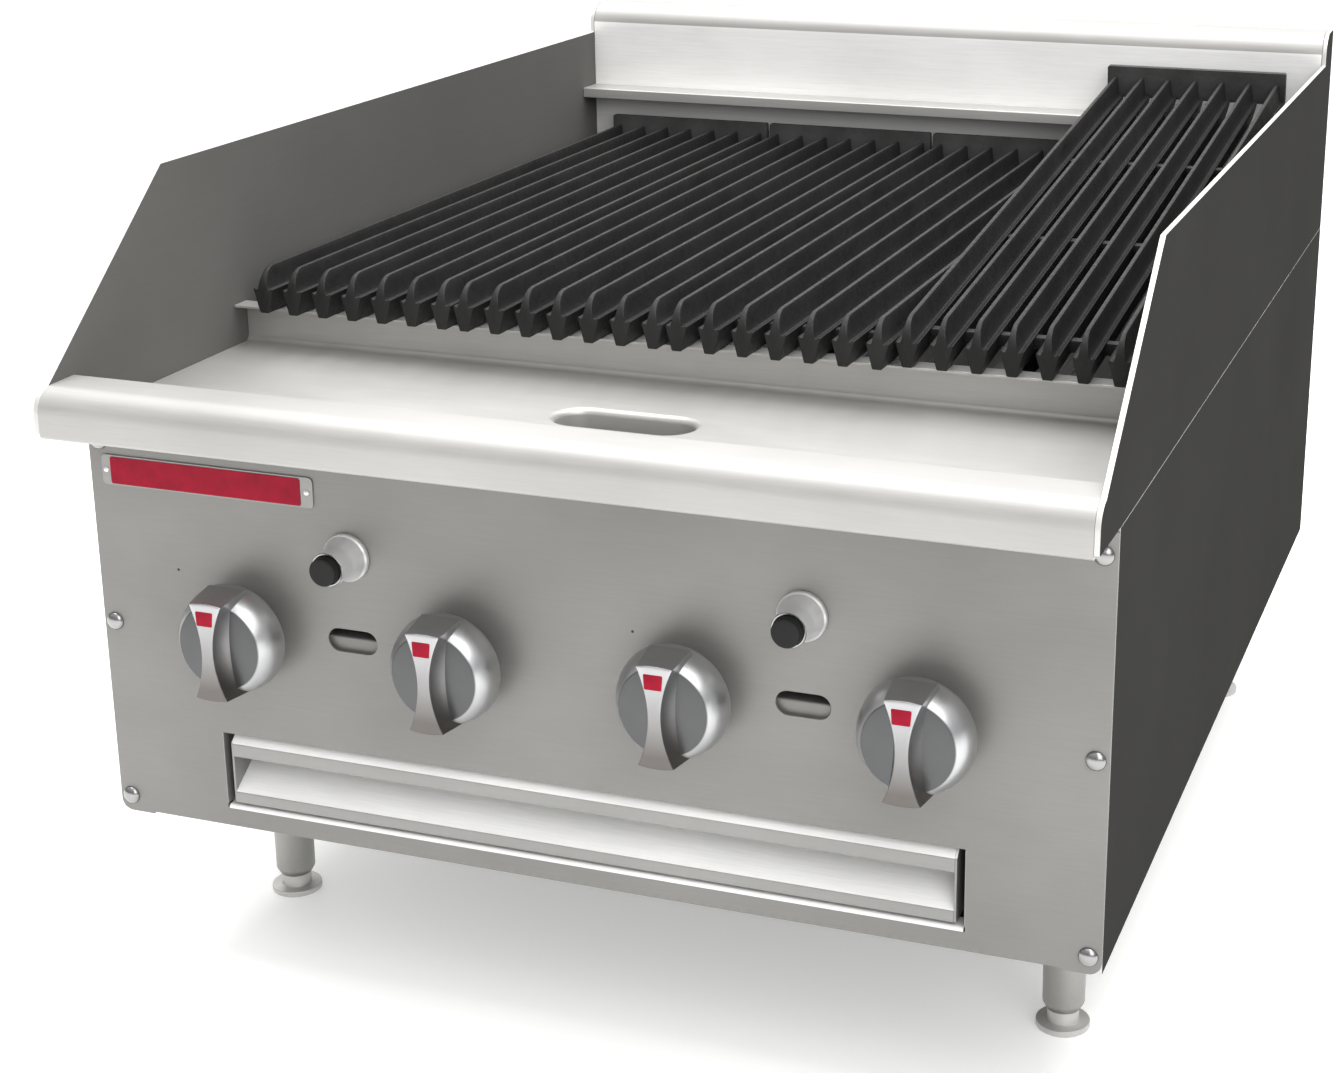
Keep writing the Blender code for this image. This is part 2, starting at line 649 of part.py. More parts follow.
def igniters():
    """Piezo igniters: a stepped bright collar and barrel, and a sprung push button inside it."""
    barrel, step, flange = IGNITER_BARREL, IGNITER_STEP, IGNITER_FLANGE
    collar = [(IGNITER_BORE, IGNITER_BARREL_END), (barrel - GAP, IGNITER_BARREL_END)]
    collar += [(barrel, 0.0225), (barrel, 0.0120), (step, 0.0100), (step, 0.0060), (flange, 0.0035)]
    collar += [(flange, GAP), (IGNITER_NECK, GAP), (IGNITER_NECK, IGNITER_TAIL)]
    collar += [(IGNITER_BORE, IGNITER_TAIL)]
    body = turned_mesh("igniter_body", collar, SMALL_SEGMENTS, closed=True)
    button = [(0.0, BUTTON_FACE), (BUTTON_RADIUS - BUTTON_EDGE, BUTTON_FACE)]
    button += [(BUTTON_RADIUS, BUTTON_FACE - BUTTON_EDGE), (BUTTON_RADIUS, BUTTON_TAIL), (0.0, BUTTON_TAIL)]
    cap = turned_mesh("igniter_button", button, SMALL_SEGMENTS)
    for index, sign in enumerate((-1, 1), 1):
        where = Matrix.Translation((sign * KNOB_PITCH, FRONT, IGNITER_HEIGHT)) @ TOWARDS_USER
        place(f"igniter_body_{index}", body, BRIGHT_CHROME, where)
        place(f"igniter_button_{index}", cap, BLACK_PLASTIC, where)


def drawer():
    """The drip tray, and its front with a finger pull folded into it."""
    inside = DRAWER_TOP - SHEET
    pull = [(0.0, BAND_TOP), (0.0, BAND_BOTTOM), (SHEET, BAND_BOTTOM), (SHEET, BAND_TOP - BAND_HEM)]
    pull += [(BAND_CHAMFER + SHEET, inside), (PULL_DEPTH, inside), (PULL_DEPTH, LIP_TOP + PULL_RISE)]
    pull += [(0.0, LIP_TOP), (0.0, DRAWER_BOTTOM), (PULL_DEPTH + SHEET, DRAWER_BOTTOM)]
    pull += [(PULL_DEPTH + SHEET, DRAWER_TOP), (BAND_CHAMFER, DRAWER_TOP)]
    outline = [(FRONT + depth, height) for depth, height in pull]
    middle = helper("pull_middle", flat_mesh("pull_middle", outline, 2 * DRAWER_HALF - 2 * SHEET))
    middle.matrix_world = yz_plate(0)
    block = [(0.0, DRAWER_BOTTOM), (PULL_DEPTH + SHEET, DRAWER_BOTTOM), (PULL_DEPTH + SHEET, DRAWER_TOP)]
    block += [(BAND_CHAMFER, DRAWER_TOP), (0.0, BAND_TOP)]
    cap = [(FRONT + depth, height) for depth, height in block]
    ends = []
    for sign in (-1, 1):
        where = yz_plate(sign * (DRAWER_HALF - SHEET))
        ends.append(helper("pull_end", flat_mesh("pull_end", cap, 2 * SHEET), where))
    place("drawer_front", joined("drawer_front", middle, ends), STAINLESS)
    start = FRONT + PULL_DEPTH + SHEET + GAP
    half = DRAWER_HALF - TRAY_PLAY
    outer = box_mesh("tray", (2 * half, TRAY_LENGTH, TRAY_HEIGHT))
    centre = Vector((0, start + TRAY_LENGTH / 2, DRAWER_BOTTOM + TRAY_HEIGHT / 2))
    tray = helper("tray", outer, Matrix.Translation(centre))
    size = (2 * half - 2 * SHEET, TRAY_LENGTH - 2 * SHEET, TRAY_HEIGHT)
    above = Matrix.Translation(centre + Vector((0, 0, SHEET)))
    hollow = helper("tray_hollow", box_mesh("tray_hollow", size), above)
    place("drip_tray", joined("drip_tray", tray, [hollow], "DIFFERENCE"), ALUMINISED)


def burner_mesh():
    """A straight tube burner, open at its mixer end and closed at the far end."""
    radius, bore, wall = BURNER_RADIUS, BURNER_RADIUS - BURNER_WALL, BURNER_WALL
    throat, throat_place = MIXER_THROAT, MIXER_THROAT_PLACE
    tube = [(0.0, BURNER_LENGTH), (radius, BURNER_LENGTH), (radius, MIXER_END), (throat, throat_place)]
    tube += [(MIXER_MOUTH, 0.0), (MIXER_MOUTH - wall, 0.0), (throat - wall, throat_place)]
    tube += [(bore, MIXER_END + wall), (bore, BURNER_LENGTH - wall), (0.0, BURNER_LENGTH - wall)]
    return turned_mesh("burner", tube, SMALL_SEGMENTS)


def burners_and_radiants():
    mesh = burner_mesh()
    for index, x in enumerate(KNOB_X, 1):
        where = Matrix.Translation((x, FRONT + BURNER_START, KNOB_HEIGHT)) @ ALONG_Y
        place(f"burner_{index}", mesh, CAST_IRON, where)
    start, end = LEDGE_WALL + 0.004, REAR_SHELF_FRONT - 0.004
    low = RADIANT_SHELF + GAP
    for index, x in enumerate(KNOB_X, 1):
        rim = [(side * reach, low) for side, reach in ((-1, RADIANT_HALF), (-1, RADIANT_FOLD))]
        rim += [(0.0, low + RADIANT_RISE)]
        rim += [(side * reach, low) for side, reach in ((1, RADIANT_FOLD), (1, RADIANT_HALF))]
        line = [(x + across, FRONT + start, height) for across, height in rim]
        obj = place(f"radiant_{index}", swept_mesh("radiant", line, (0, end - start, 0)), ALUMINISED)
        thicken(obj, RADIANT_SHEET, -1)


def pipes():
    """The gas manifold across the front, its supply pipe to the rear and the threaded inlet."""
    reach = SUPPLY_X - PIPE_RADIUS - GAP
    half = (reach + KNOB_X[3] + MANIFOLD_END) / 2
    centre = (-reach + KNOB_X[3] + MANIFOLD_END) / 2
    ring = [(PIPE_BORE, half), (PIPE_RADIUS, half), (PIPE_RADIUS, -half), (PIPE_BORE, -half)]
    mesh = turned_mesh("manifold", ring, SMALL_SEGMENTS, closed=True)
    where = Matrix.Translation((centre, FRONT + MANIFOLD_DEPTH, MANIFOLD_HEIGHT)) @ ALONG_X
    place("gas_manifold", mesh, BLACK_PIPE, where)
    start = FRONT + MANIFOLD_DEPTH - PIPE_RADIUS
    end = REAR - INLET_LENGTH
    ring = [(PIPE_BORE, end - start), (PIPE_RADIUS, end - start), (PIPE_RADIUS, 0), (PIPE_BORE, 0)]
    mesh = turned_mesh("supply", ring, SMALL_SEGMENTS, closed=True)
    where = Matrix.Translation((-SUPPLY_X, start, SUPPLY_HEIGHT)) @ ALONG_Y
    place("supply_pipe", mesh, BLACK_PIPE, where)
    tip = INLET_LENGTH - GAP
    nipple = [(PIPE_BORE, tip), (PIPE_RADIUS, tip), (PIPE_RADIUS, GAP), (PIPE_BORE, GAP)]
    mesh = turned_mesh("inlet", nipple, SMALL_SEGMENTS, closed=True)
    where = Matrix.Translation((-SUPPLY_X, end, SUPPLY_HEIGHT)) @ ALONG_Y
    place("gas_inlet", mesh, BRASS, where)


def legs():
    """Sleeves fixed under the body, each with a foot that screws in and out of it."""
    top = SIDE_BOTTOM + FLOOR_RISE - SHEET - GAP
    under = top - SLEEVE_FLANGE_THICK
    sleeve = [(SLEEVE_BORE, top), (SLEEVE_FLANGE, top), (SLEEVE_FLANGE, under), (SLEEVE_RADIUS, under)]
    sleeve += [(SLEEVE_RADIUS, SLEEVE_BOTTOM + SLEEVE_TAPER), (SLEEVE_TIP, SLEEVE_BOTTOM)]
    sleeve += [(SLEEVE_BORE, SLEEVE_BOTTOM)]
    sleeve_mesh = turned_mesh("leg", sleeve, SMALL_SEGMENTS, closed=True)
    stem_top, edge = top - FOOT_STEM_CLEAR, DISC_EDGE
    foot = [(0.0, stem_top), (FOOT_STEM_RADIUS, stem_top), (FOOT_STEM_RADIUS, DISC_THICK)]
    foot += [(DISC_RADIUS - edge, DISC_THICK), (DISC_RADIUS, DISC_THICK - edge), (DISC_RADIUS, edge)]
    foot += [(DISC_RADIUS - edge, 0.0), (0.0, 0.0)]
    foot_mesh = turned_mesh("foot", foot, SMALL_SEGMENTS)
    corners = [(x, depth) for depth in (LEG_FRONT, LEG_REAR) for x in (-LEG_X, LEG_X)]
    for index, (x, depth) in enumerate(corners, 1):
        where = Matrix.Translation((x, FRONT + depth, 0))
        place(f"leg_{index}", sleeve_mesh, STAINLESS, where)
        place(f"foot_{index}", foot_mesh, STAINLESS, where)


def panel_screws():
    """Domed screws down both edges of the control panel."""
    dome = []
    for angle in (0, 30, 60, 90):
        turn = radians(angle)
        dome.append((SCREW_RADIUS * sin(turn), GAP + SCREW_RISE * cos(turn)))
    shank = SCREW_HOLE - GAP
    dome += [(shank, GAP), (shank, -SCREW_SHANK), (0.0, -SCREW_SHANK)]
    mesh = turned_mesh("screw", dome, SMALL_SEGMENTS)
    places = [(sign * SCREW_X, height) for sign in (-1, 1) for height in SCREW_HEIGHTS]
    for index, (x, height) in enumerate(places, 1):
        where = Matrix.Translation((x, FRONT, height)) @ TOWARDS_USER
        place(f"panel_screw_{index}", mesh, BRIGHT_CHROME, where)


clear_scene()
parts = new_collection("charbroiler")
cutters = new_collection("cutters")
front_panel()
body_sheets()
base_pan()
top_sheets()
grates()
knobs_and_valves()
igniters()
drawer()
burners_and_radiants()
pipes()
legs()
panel_screws()
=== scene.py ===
from math import atan2, cos, pi, radians, sin, sqrt, tan

import bmesh
import bpy
from mathutils import Matrix, Vector
from mathutils.geometry import tessellate_polygon


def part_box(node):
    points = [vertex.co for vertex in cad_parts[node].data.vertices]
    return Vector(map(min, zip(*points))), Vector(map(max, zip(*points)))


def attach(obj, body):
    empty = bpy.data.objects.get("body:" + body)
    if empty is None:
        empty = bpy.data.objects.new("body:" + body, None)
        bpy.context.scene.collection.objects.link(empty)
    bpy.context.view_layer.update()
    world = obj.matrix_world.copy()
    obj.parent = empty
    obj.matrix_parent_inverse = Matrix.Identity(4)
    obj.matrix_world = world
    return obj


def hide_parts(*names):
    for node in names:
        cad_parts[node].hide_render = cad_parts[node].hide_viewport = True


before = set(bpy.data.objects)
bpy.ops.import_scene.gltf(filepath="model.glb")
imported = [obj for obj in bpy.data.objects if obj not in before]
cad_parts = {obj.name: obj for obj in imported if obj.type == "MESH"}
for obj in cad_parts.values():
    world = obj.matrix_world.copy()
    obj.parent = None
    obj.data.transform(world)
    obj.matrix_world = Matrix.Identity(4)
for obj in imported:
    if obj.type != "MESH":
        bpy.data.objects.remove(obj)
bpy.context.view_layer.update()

FOUR = range(1, 5)
HOUSING = "housing"
SHEET = 0.0016
GAP = 0.0003
SOFT = 0.0002
NO_TURN = 0.0001
SHARPEST = 0.3
PANEL_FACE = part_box("front_panel")[0].y
PANEL_BACK = PANEL_FACE + SHEET


# ---- materials

def node_material(name, colour, metallic, roughness, specular=0.5):
    """A Principled material, with its node tree and its shader."""
    made = bpy.data.materials.new(name)
    made.use_nodes = True
    tree = made.node_tree
    shader = tree.nodes["Principled BSDF"]
    shader.inputs["Base Color"].default_value = (*colour, 1)
    shader.inputs["Metallic"].default_value = metallic
    shader.inputs["Roughness"].default_value = roughness
    shader.inputs["Specular IOR Level"].default_value = specular
    return made, tree, shader


def scaled_coordinates(tree, scale):
    """Object coordinates, scaled to counts per metre."""
    where = tree.nodes.new("ShaderNodeTexCoord")
    mapping = tree.nodes.new("ShaderNodeMapping")
    mapping.inputs["Scale"].default_value = scale
    tree.links.new(where.outputs["Object"], mapping.inputs["Vector"])
    return mapping.outputs["Vector"]


def noise(tree, scale, detail=3.0, rough=0.6):
    """A noise texture with the given counts per metre along X, Y and Z."""
    texture = tree.nodes.new("ShaderNodeTexNoise")
    texture.inputs["Scale"].default_value = 1.0
    texture.inputs["Detail"].default_value = detail
    texture.inputs["Roughness"].default_value = rough
    tree.links.new(scaled_coordinates(tree, scale), texture.inputs["Vector"])
    return texture.outputs["Fac"]


def ramp(tree, source, low, high, start=0.3, end=0.7):
    """Maps a 0 to 1 texture to a span between two greys or colours."""
    spread = tree.nodes.new("ShaderNodeValToRGB")
    spread.color_ramp.elements[0].position = start
    spread.color_ramp.elements[1].position = end
    for element, value in zip(spread.color_ramp.elements, (low, high)):
        element.color = (*value, 1) if isinstance(value, tuple) else (value, value, value, 1)
    tree.links.new(source, spread.inputs["Fac"])
    return spread.outputs["Color"]


def mixed(tree, factor, first, second, blend="MIX"):
    """Mixes two colours. Each input is a value or a node's output."""
    mix = tree.nodes.new("ShaderNodeMix")
    mix.data_type = "RGBA"
    mix.blend_type = blend
    for socket, value in ((mix.inputs["Factor"], factor), (mix.inputs[6], first), (mix.inputs[7], second)):
        if isinstance(value, (float, tuple)):
            socket.default_value = (*value, 1) if isinstance(value, tuple) else value
        else:
            tree.links.new(value, socket)
    return mix.outputs[2]


def drive(tree, shader, base, roughness):
    """Links the shader's colour and roughness to textures."""
    tree.links.new(base, shader.inputs["Base Color"])
    tree.links.new(roughness, shader.inputs["Roughness"])


def one_axis(tree, vector, axis):
    """One axis of a vector."""
    split = tree.nodes.new("ShaderNodeSeparateXYZ")
    tree.links.new(vector, split.inputs["Vector"])
    return split.outputs[axis]


def darkened(tree, base, texture, least):
    """The base colour times a texture that runs from a least value up to one."""
    return mixed(tree, 1.0, base, ramp(tree, texture, least, 1.0), "MULTIPLY")


def bump(tree, shader, source, distance, strength):
    """Adds a height texture to the bump that the shader has."""
    node = tree.nodes.new("ShaderNodeBump")
    node.inputs["Distance"].default_value = distance
    node.inputs["Strength"].default_value = strength
    tree.links.new(source, node.inputs["Height"])
    for link in list(shader.inputs["Normal"].links):
        tree.links.new(link.from_socket, node.inputs["Normal"])
    tree.links.new(node.outputs["Normal"], shader.inputs["Normal"])


def tones(tree, texture, colour, low, high, start=0.3, end=0.7):
    """The colour, which a texture varies between two factors."""
    ends = (tuple(channel * factor for channel in colour) for factor in (low, high))
    return ramp(tree, texture, *ends, start, end)


def brushed_steel(name, colour, metallic, roughness, clouds=0.06):
    """Satin sheet: fine hair lines and strokes along X, and broad clouds."""
    made, tree, shader = node_material(name, colour, metallic, roughness)
    hairs = noise(tree, (30, 2600, 2600), 2.0)
    strokes = noise(tree, (28, 620, 620), 4.0, 0.7)
    broad = noise(tree, (7, 9, 11), 3.0, 0.5)
    base = tones(tree, broad, colour, 1 - clouds, 1 + clouds)
    base = darkened(tree, darkened(tree, base, strokes, 0.93), hairs, 0.94)
    drive(tree, shader, base, ramp(tree, strokes, roughness - 0.02, roughness + 0.04))
    bump(tree, shader, hairs, 0.00003, 0.5)
    bump(tree, shader, strokes, 0.00003, 0.35)
    return made


def side_sheet(name, colour, roughness):
    """Faces painted dark, told by their normal along X, for a painted reflection of dark surroundings; the
    edges keep a light steel tone.
    """
    edge_colour, edge_metallic, edge_roughness = (0.60, 0.592, 0.572), 0.4, 0.40
    edge_on, face_on = 0.55, 0.85
    made, tree, shader = node_material(name, colour, 0.0, roughness, 0.0)
    broad = noise(tree, (6, 6, 6), 3.0)
    hairs = noise(tree, (1200, 20, 1200), 2.0)
    face = darkened(tree, tones(tree, broad, colour, 0.94, 1.05), hairs, 0.95)
    normal = tree.nodes.new("ShaderNodeNewGeometry")
    turned = tree.nodes.new("ShaderNodeVectorTransform")
    turned.vector_type = "NORMAL"
    turned.convert_from, turned.convert_to = "WORLD", "OBJECT"
    size = tree.nodes.new("ShaderNodeMath")
    size.operation = "ABSOLUTE"
    tree.links.new(normal.outputs["True Normal"], turned.inputs["Vector"])
    tree.links.new(one_axis(tree, turned.outputs["Vector"], "X"), size.inputs[0])
    facing = size.outputs["Value"]
    base = mixed(tree, ramp(tree, facing, 0.0, 1.0, edge_on, face_on), edge_colour, face)
    drive(tree, shader, base, ramp(tree, facing, edge_roughness, roughness, edge_on, face_on))
    metallic = ramp(tree, facing, edge_metallic, 0.0, edge_on, face_on)
    tree.links.new(metallic, shader.inputs["Metallic"])
    bump(tree, shader, hairs, 0.00003, 0.4)
    return made


def cast_iron(name, colour, roughness):
    """Seasoned casting: a fine sandy skin with a soft uneven oil sheen."""
    made, tree, shader = node_material(name, colour, 0.0, roughness, 0.3)
    sand = noise(tree, (1100, 1100, 1100), 4.0, 0.7)
    lumps = noise(tree, (210, 210, 210), 3.0)
    broad = noise(tree, (28, 28, 28), 3.0)
    base = tones(tree, broad, colour, 0.75, 1.3)
    gloss = ramp(tree, lumps, roughness - 0.09, roughness + 0.12)
    drive(tree, shader, darkened(tree, base, sand, 0.75), gloss)
    bump(tree, shader, sand, 0.00022, 0.7)
    bump(tree, shader, lumps, 0.0005, 0.5)
    return made


def fine_and_broad(tree, fine, broad):
    """Two even noises, with their counts per metre."""
    return noise(tree, (fine, fine, fine), 3.0), noise(tree, (broad, broad, broad), 2.0)


def smooth_metal(name, colour, roughness, metallic=1.0):
    """Plated or machined metal: almost even, with faint wear in its gloss."""
    made, tree, shader = node_material(name, colour, metallic, roughness)
    fine, broad = fine_and_broad(tree, 900, 60)
    base = tones(tree, broad, colour, 0.95, 1.03)
    drive(tree, shader, base, ramp(tree, fine, roughness * 0.85, roughness * 1.2))
    bump(tree, shader, fine, 0.00002, 0.3)
    return made


def chrome_painted_shading(name, axis, span, low, high, roughness):
    """Satin plating with painted light and shade: its tone goes from low to high along one axis, over a span
    in metres.
    """
    made, tree, shader = node_material(name, high, 1.0, roughness)
    where = tree.nodes.new("ShaderNodeTexCoord")
    share = tree.nodes.new("ShaderNodeMapRange")
    share.inputs["From Min"].default_value, share.inputs["From Max"].default_value = span
    tree.links.new(one_axis(tree, where.outputs["Object"], axis), share.inputs["Value"])
    fine, broad = fine_and_broad(tree, 900, 60)
    base = ramp(tree, share.outputs["Result"], low, high, 0.0, 1.0)
    gloss = ramp(tree, fine, roughness * 0.93, roughness * 1.15)
    drive(tree, shader, darkened(tree, base, broad, 0.93), gloss)
    bump(tree, shader, fine, 0.00002, 0.3)
    return made


def moulded(name, colour, roughness, depth=0.00008, specular=0.4):
    """Plastic, enamel or paint: even in colour, with a fine skin."""
    made, tree, shader = node_material(name, colour, 0.0, roughness, specular)
    fine, broad = fine_and_broad(tree, 1600, 90)
    base = tones(tree, broad, colour, 0.85, 1.2)
    drive(tree, shader, base, ramp(tree, fine, roughness - 0.05, roughness + 0.08))
    bump(tree, shader, fine, depth, 0.5)
    return made


def mill_steel(name, colour, roughness):
    """Aluminised sheet: dull, with faint crystals and roll lines."""
    made, tree, shader = node_material(name, colour, 0.9, roughness)
    crystals = tree.nodes.new("ShaderNodeTexVoronoi")
    crystals.inputs["Scale"].default_value = 1.0
    tree.links.new(scaled_coordinates(tree, (120, 120, 120)), crystals.inputs["Vector"])
    rolled = noise(tree, (300, 12, 300), 3.0)
    base = tones(tree, crystals.outputs["Distance"], colour, 1.04, 0.92, 0.1, 0.9)
    gloss = ramp(tree, rolled, roughness - 0.08, roughness + 0.1)
    drive(tree, shader, darkened(tree, base, rolled, 0.88), gloss)
    bump(tree, shader, rolled, 0.00005, 0.4)
    return made


LOOKS = {
    # Painted light and shade: panel, rail, deck, ledge, guard, drawer and slope are one brushed stainless
    # steel in different tones and metallic levels, each painted lighter or darker for the light that falls
    # on that part.
    "panel": brushed_steel("steel_panel", (0.235, 0.231, 0.220), 0.45, 0.48, 0.09),
    "rail": brushed_steel("steel_rail", (0.46, 0.453, 0.437), 0.45, 0.45),
    "deck": brushed_steel("steel_deck", (0.51, 0.502, 0.484), 0.5, 0.42),
    "ledge": brushed_steel("steel_ledge", (0.62, 0.612, 0.594), 0.6, 0.42),
    # Painted highlight: the guard tone is near white and hardly metallic, for the brightly lit splash front.
    "guard": brushed_steel("steel_guard_painted_light", (0.93, 0.925, 0.91), 0.15, 0.45),
    "drawer": brushed_steel("steel_drawer", (0.30, 0.297, 0.288), 0.6, 0.42),
    # Painted light: the finger pull's slope is near white and hardly metallic, for the light that reaches it
    # under the band.
    "slope": brushed_steel("steel_finger_pull_painted_light", (0.95, 0.945, 0.93), 0.1, 0.5),
    # Painted reflection: the side sheets' faces are painted dark for the dark surroundings they reflect, and
    # side_inner paints the inner faces lighter.
    "side": side_sheet("side_sheet_painted_dark_reflection", (0.042, 0.0417, 0.0403), 0.6),
    "side_inner": side_sheet("side_sheet_inner_painted_reflection", (0.135, 0.133, 0.127), 0.55),
    "iron": cast_iron("iron_seasoned", (0.018, 0.018, 0.0178), 0.56),
    # Painted light: the flange is the same cast iron, painted lighter than the ribs.
    "iron_flange": cast_iron("iron_flange_painted_light", (0.055, 0.055, 0.0543), 0.56),
    "burner_iron": cast_iron("iron_burner", (0.05, 0.047, 0.044), 0.7),
    # Painted light and shade: the knob's dome and rim are painted light, its flat face painted dark.
    "knob": chrome_painted_shading(
        "knob_chrome_painted_shading", "Z", (0.0314, 0.0322), (0.54, 0.542, 0.55), (0.105, 0.106, 0.108), 0.31
    ),
    # Painted light and shade: the grip is painted light at its head and dark towards its tail.
    "grip": chrome_painted_shading(
        "knob_grip_chrome_painted_shading", "Y", (-0.022, 0.026), (0.14, 0.130, 0.122), (0.46, 0.46, 0.468), 0.31
    ),
    # Painted shade: the screw plating is darkened to stand for dark reflections; the igniters' front rings
    # share it.
    "screw": smooth_metal("screw_plating", (0.33, 0.33, 0.33), 0.22),
    "bright": smooth_metal("bright_plating", (0.80, 0.80, 0.805), 0.36, 0.7),
    "tube": smooth_metal("tube_satin", (0.34, 0.336, 0.322), 0.42),
    # Painted light: the feet are the sleeves' satin steel painted lighter, against the shade under the body.
    "foot": smooth_metal("foot_satin_painted_light", (0.56, 0.552, 0.535), 0.42, 0.5),
    "brass": smooth_metal("brass_machined", (0.62, 0.44, 0.19), 0.33),
    "pipe": moulded("pipe_black_paint", (0.03, 0.03, 0.031), 0.5),
    "plastic": moulded("button_black_plastic", (0.011, 0.0113, 0.011), 0.5, 0.00003, 0.2),
    "enamel": moulded("enamel_red", (0.27, 0.001, 0.017), 0.35, 0.00003, 0.15),
    "mill": mill_steel("aluminised_sheet", (0.24, 0.24, 0.235), 0.5),
}


# ---- mesh tools

def mesh_of(name, shape, look):
    """Turns a bmesh into a mesh with a look."""
    mesh = bpy.data.meshes.new(name)
    bmesh.ops.recalc_face_normals(shape, faces=shape.faces)
    shape.to_mesh(mesh)
    shape.free()
    mesh.materials.append(LOOKS[look])
    return mesh


def repaint(mesh, look, chosen):
    """Gives a further look to the faces that a test picks out."""
    mesh.materials.append(LOOKS[look])
    for face in mesh.polygons:
        if chosen(face):
            face.material_index = len(mesh.materials) - 1


def placed(name, data):
    """An object in the scene, from a mesh, a light or a camera."""
    obj = bpy.data.objects.new(name, data)
    bpy.context.scene.collection.objects.link(obj)
    return obj


def piece(name, shape, look, body, replaces=(), bevel=0.0):
    """An object from a bmesh of its own."""
    return finished(name, mesh_of(name, shape, look), body, replaces, 30, bevel)


def steel_sheet(name, shape, look, nodes=(), bevel=0.0):
    """A stainless sheet that belongs to the housing."""
    return piece(name, shape, look, HOUSING, nodes, bevel)


def finished(name, mesh, body, replaces=(), smooth=40, bevel=0.0, matrix=None):
    """Hangs a mesh on a body of the frame. Creases sharper than the smooth angle, in degrees, stay sharp, or
    are rounded by the bevel's width."""
    mesh.shade_smooth()
    mesh.set_sharp_from_angle(angle=radians(smooth))
    obj = placed(name, mesh)
    if matrix is not None:
        obj.matrix_world = matrix
    if bevel:
        rounded_edges(obj, bevel, smooth)
    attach(obj, body)
    if replaces:
        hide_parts(*replaces)
    return obj


def rounded_edges(obj, width, angle):
    """Bevels the edges that turn by more than an angle in degrees."""
    step = obj.modifiers.new("rounded edges", "BEVEL")
    step.width = width
    step.segments = 2
    step.limit_method = "ANGLE"
    step.angle_limit = radians(angle)
    step.use_clamp_overlap = False
    step.harden_normals = True


def left_of(direction):
    """The direction, turned left by a right angle."""
    return Vector((-direction.y, direction.x))


def filleted(points, radii, steps=6, closed=False):
    """The line with its corners rounded, as a list of (point, left-hand normal)."""
    count = len(points)
    places = [Vector(point) for point in points]
    line = []
    for index, here in enumerate(places):
        if not closed and index in (0, count - 1):
            along = (places[1] - places[0]) if index == 0 else (places[-1] - places[-2])
            line.append((here, left_of(along.normalized())))
            continue
        before = (here - places[index - 1]).normalized()
        after = (places[(index + 1) % count] - here).normalized()
        turn = atan2(before.cross(after), before.dot(after))
        radius = radii[index] if isinstance(radii, (list, tuple)) else radii
        if radius <= 0 or abs(turn) < NO_TURN:
            line.append((here, left_of((before + after).normalized())))
            continue
        side = 1 if turn > 0 else -1
        start = here - before * radius * tan(abs(turn) / 2)
        centre = start + left_of(before) * side * radius
        for step in range(steps + 1):
            normal = Matrix.Rotation(turn * step / steps, 2) @ left_of(before)
            line.append((centre - normal * side * radius, normal))
    return line


def soft_loop(points, radii, steps=4):
    """A closed loop of points with its corners rounded."""
    return [tuple(place) for place, _ in filleted(points, radii, steps, closed=True)]


def folded(points, radii, thickness, steps=6):
    """The outline of a bent sheet whose left-hand face follows the line."""
    line = filleted(points, radii, steps)
    near = [tuple(place) for place, _ in line]
    return near + [tuple(place - normal * thickness) for place, normal in reversed(line)]


def loft(shape, rows, capped=True):
    """Joins equally long closed rows of vertices, each to the next, and closes both ends."""
    for first, second in zip(rows, rows[1:]):
        for index in range(len(first)):
            other = (index + 1) % len(first)
            corners = (first[index], first[other], second[other], second[index])
            if len(set(corners)) == 4:
                shape.faces.new(corners)
    if capped:
        shape.faces.new(rows[0])
        shape.faces.new(rows[-1][::-1])
    return shape


def prism(outline, start, end, to_world):
    """A solid bar of one cross-section between two places along its length."""
    shape = bmesh.new()
    rows = [[shape.verts.new(to_world(u, v, w)) for u, v in outline] for w in (start, end)]
    return loft(shape, rows)


def bar_x(outline, start, end):
    """A bar along X, with its section in (y, z)."""
    return prism(outline, start, end, lambda u, v, w: (w, u, v))


def add_shape(shape, other):
    """Copies another bmesh into this one."""
    mesh = bpy.data.meshes.new("scratch")
    other.to_mesh(mesh)
    other.free()
    shape.from_mesh(mesh)
    bpy.data.meshes.remove(mesh)
    return shape


def grown(loop, distance):
    """An anticlockwise loop, moved outwards square to its edges."""
    points = [Vector(point) for point in loop]
    moved_points = []
    for index, here in enumerate(points):
        before = left_of((here - points[index - 1]).normalized())
        after = left_of((points[(index + 1) % len(points)] - here).normalized())
        between = (before + after).normalized()
        moved_points.append(tuple(here - between * distance / max(between.dot(before), SHARPEST)))
    return moved_points


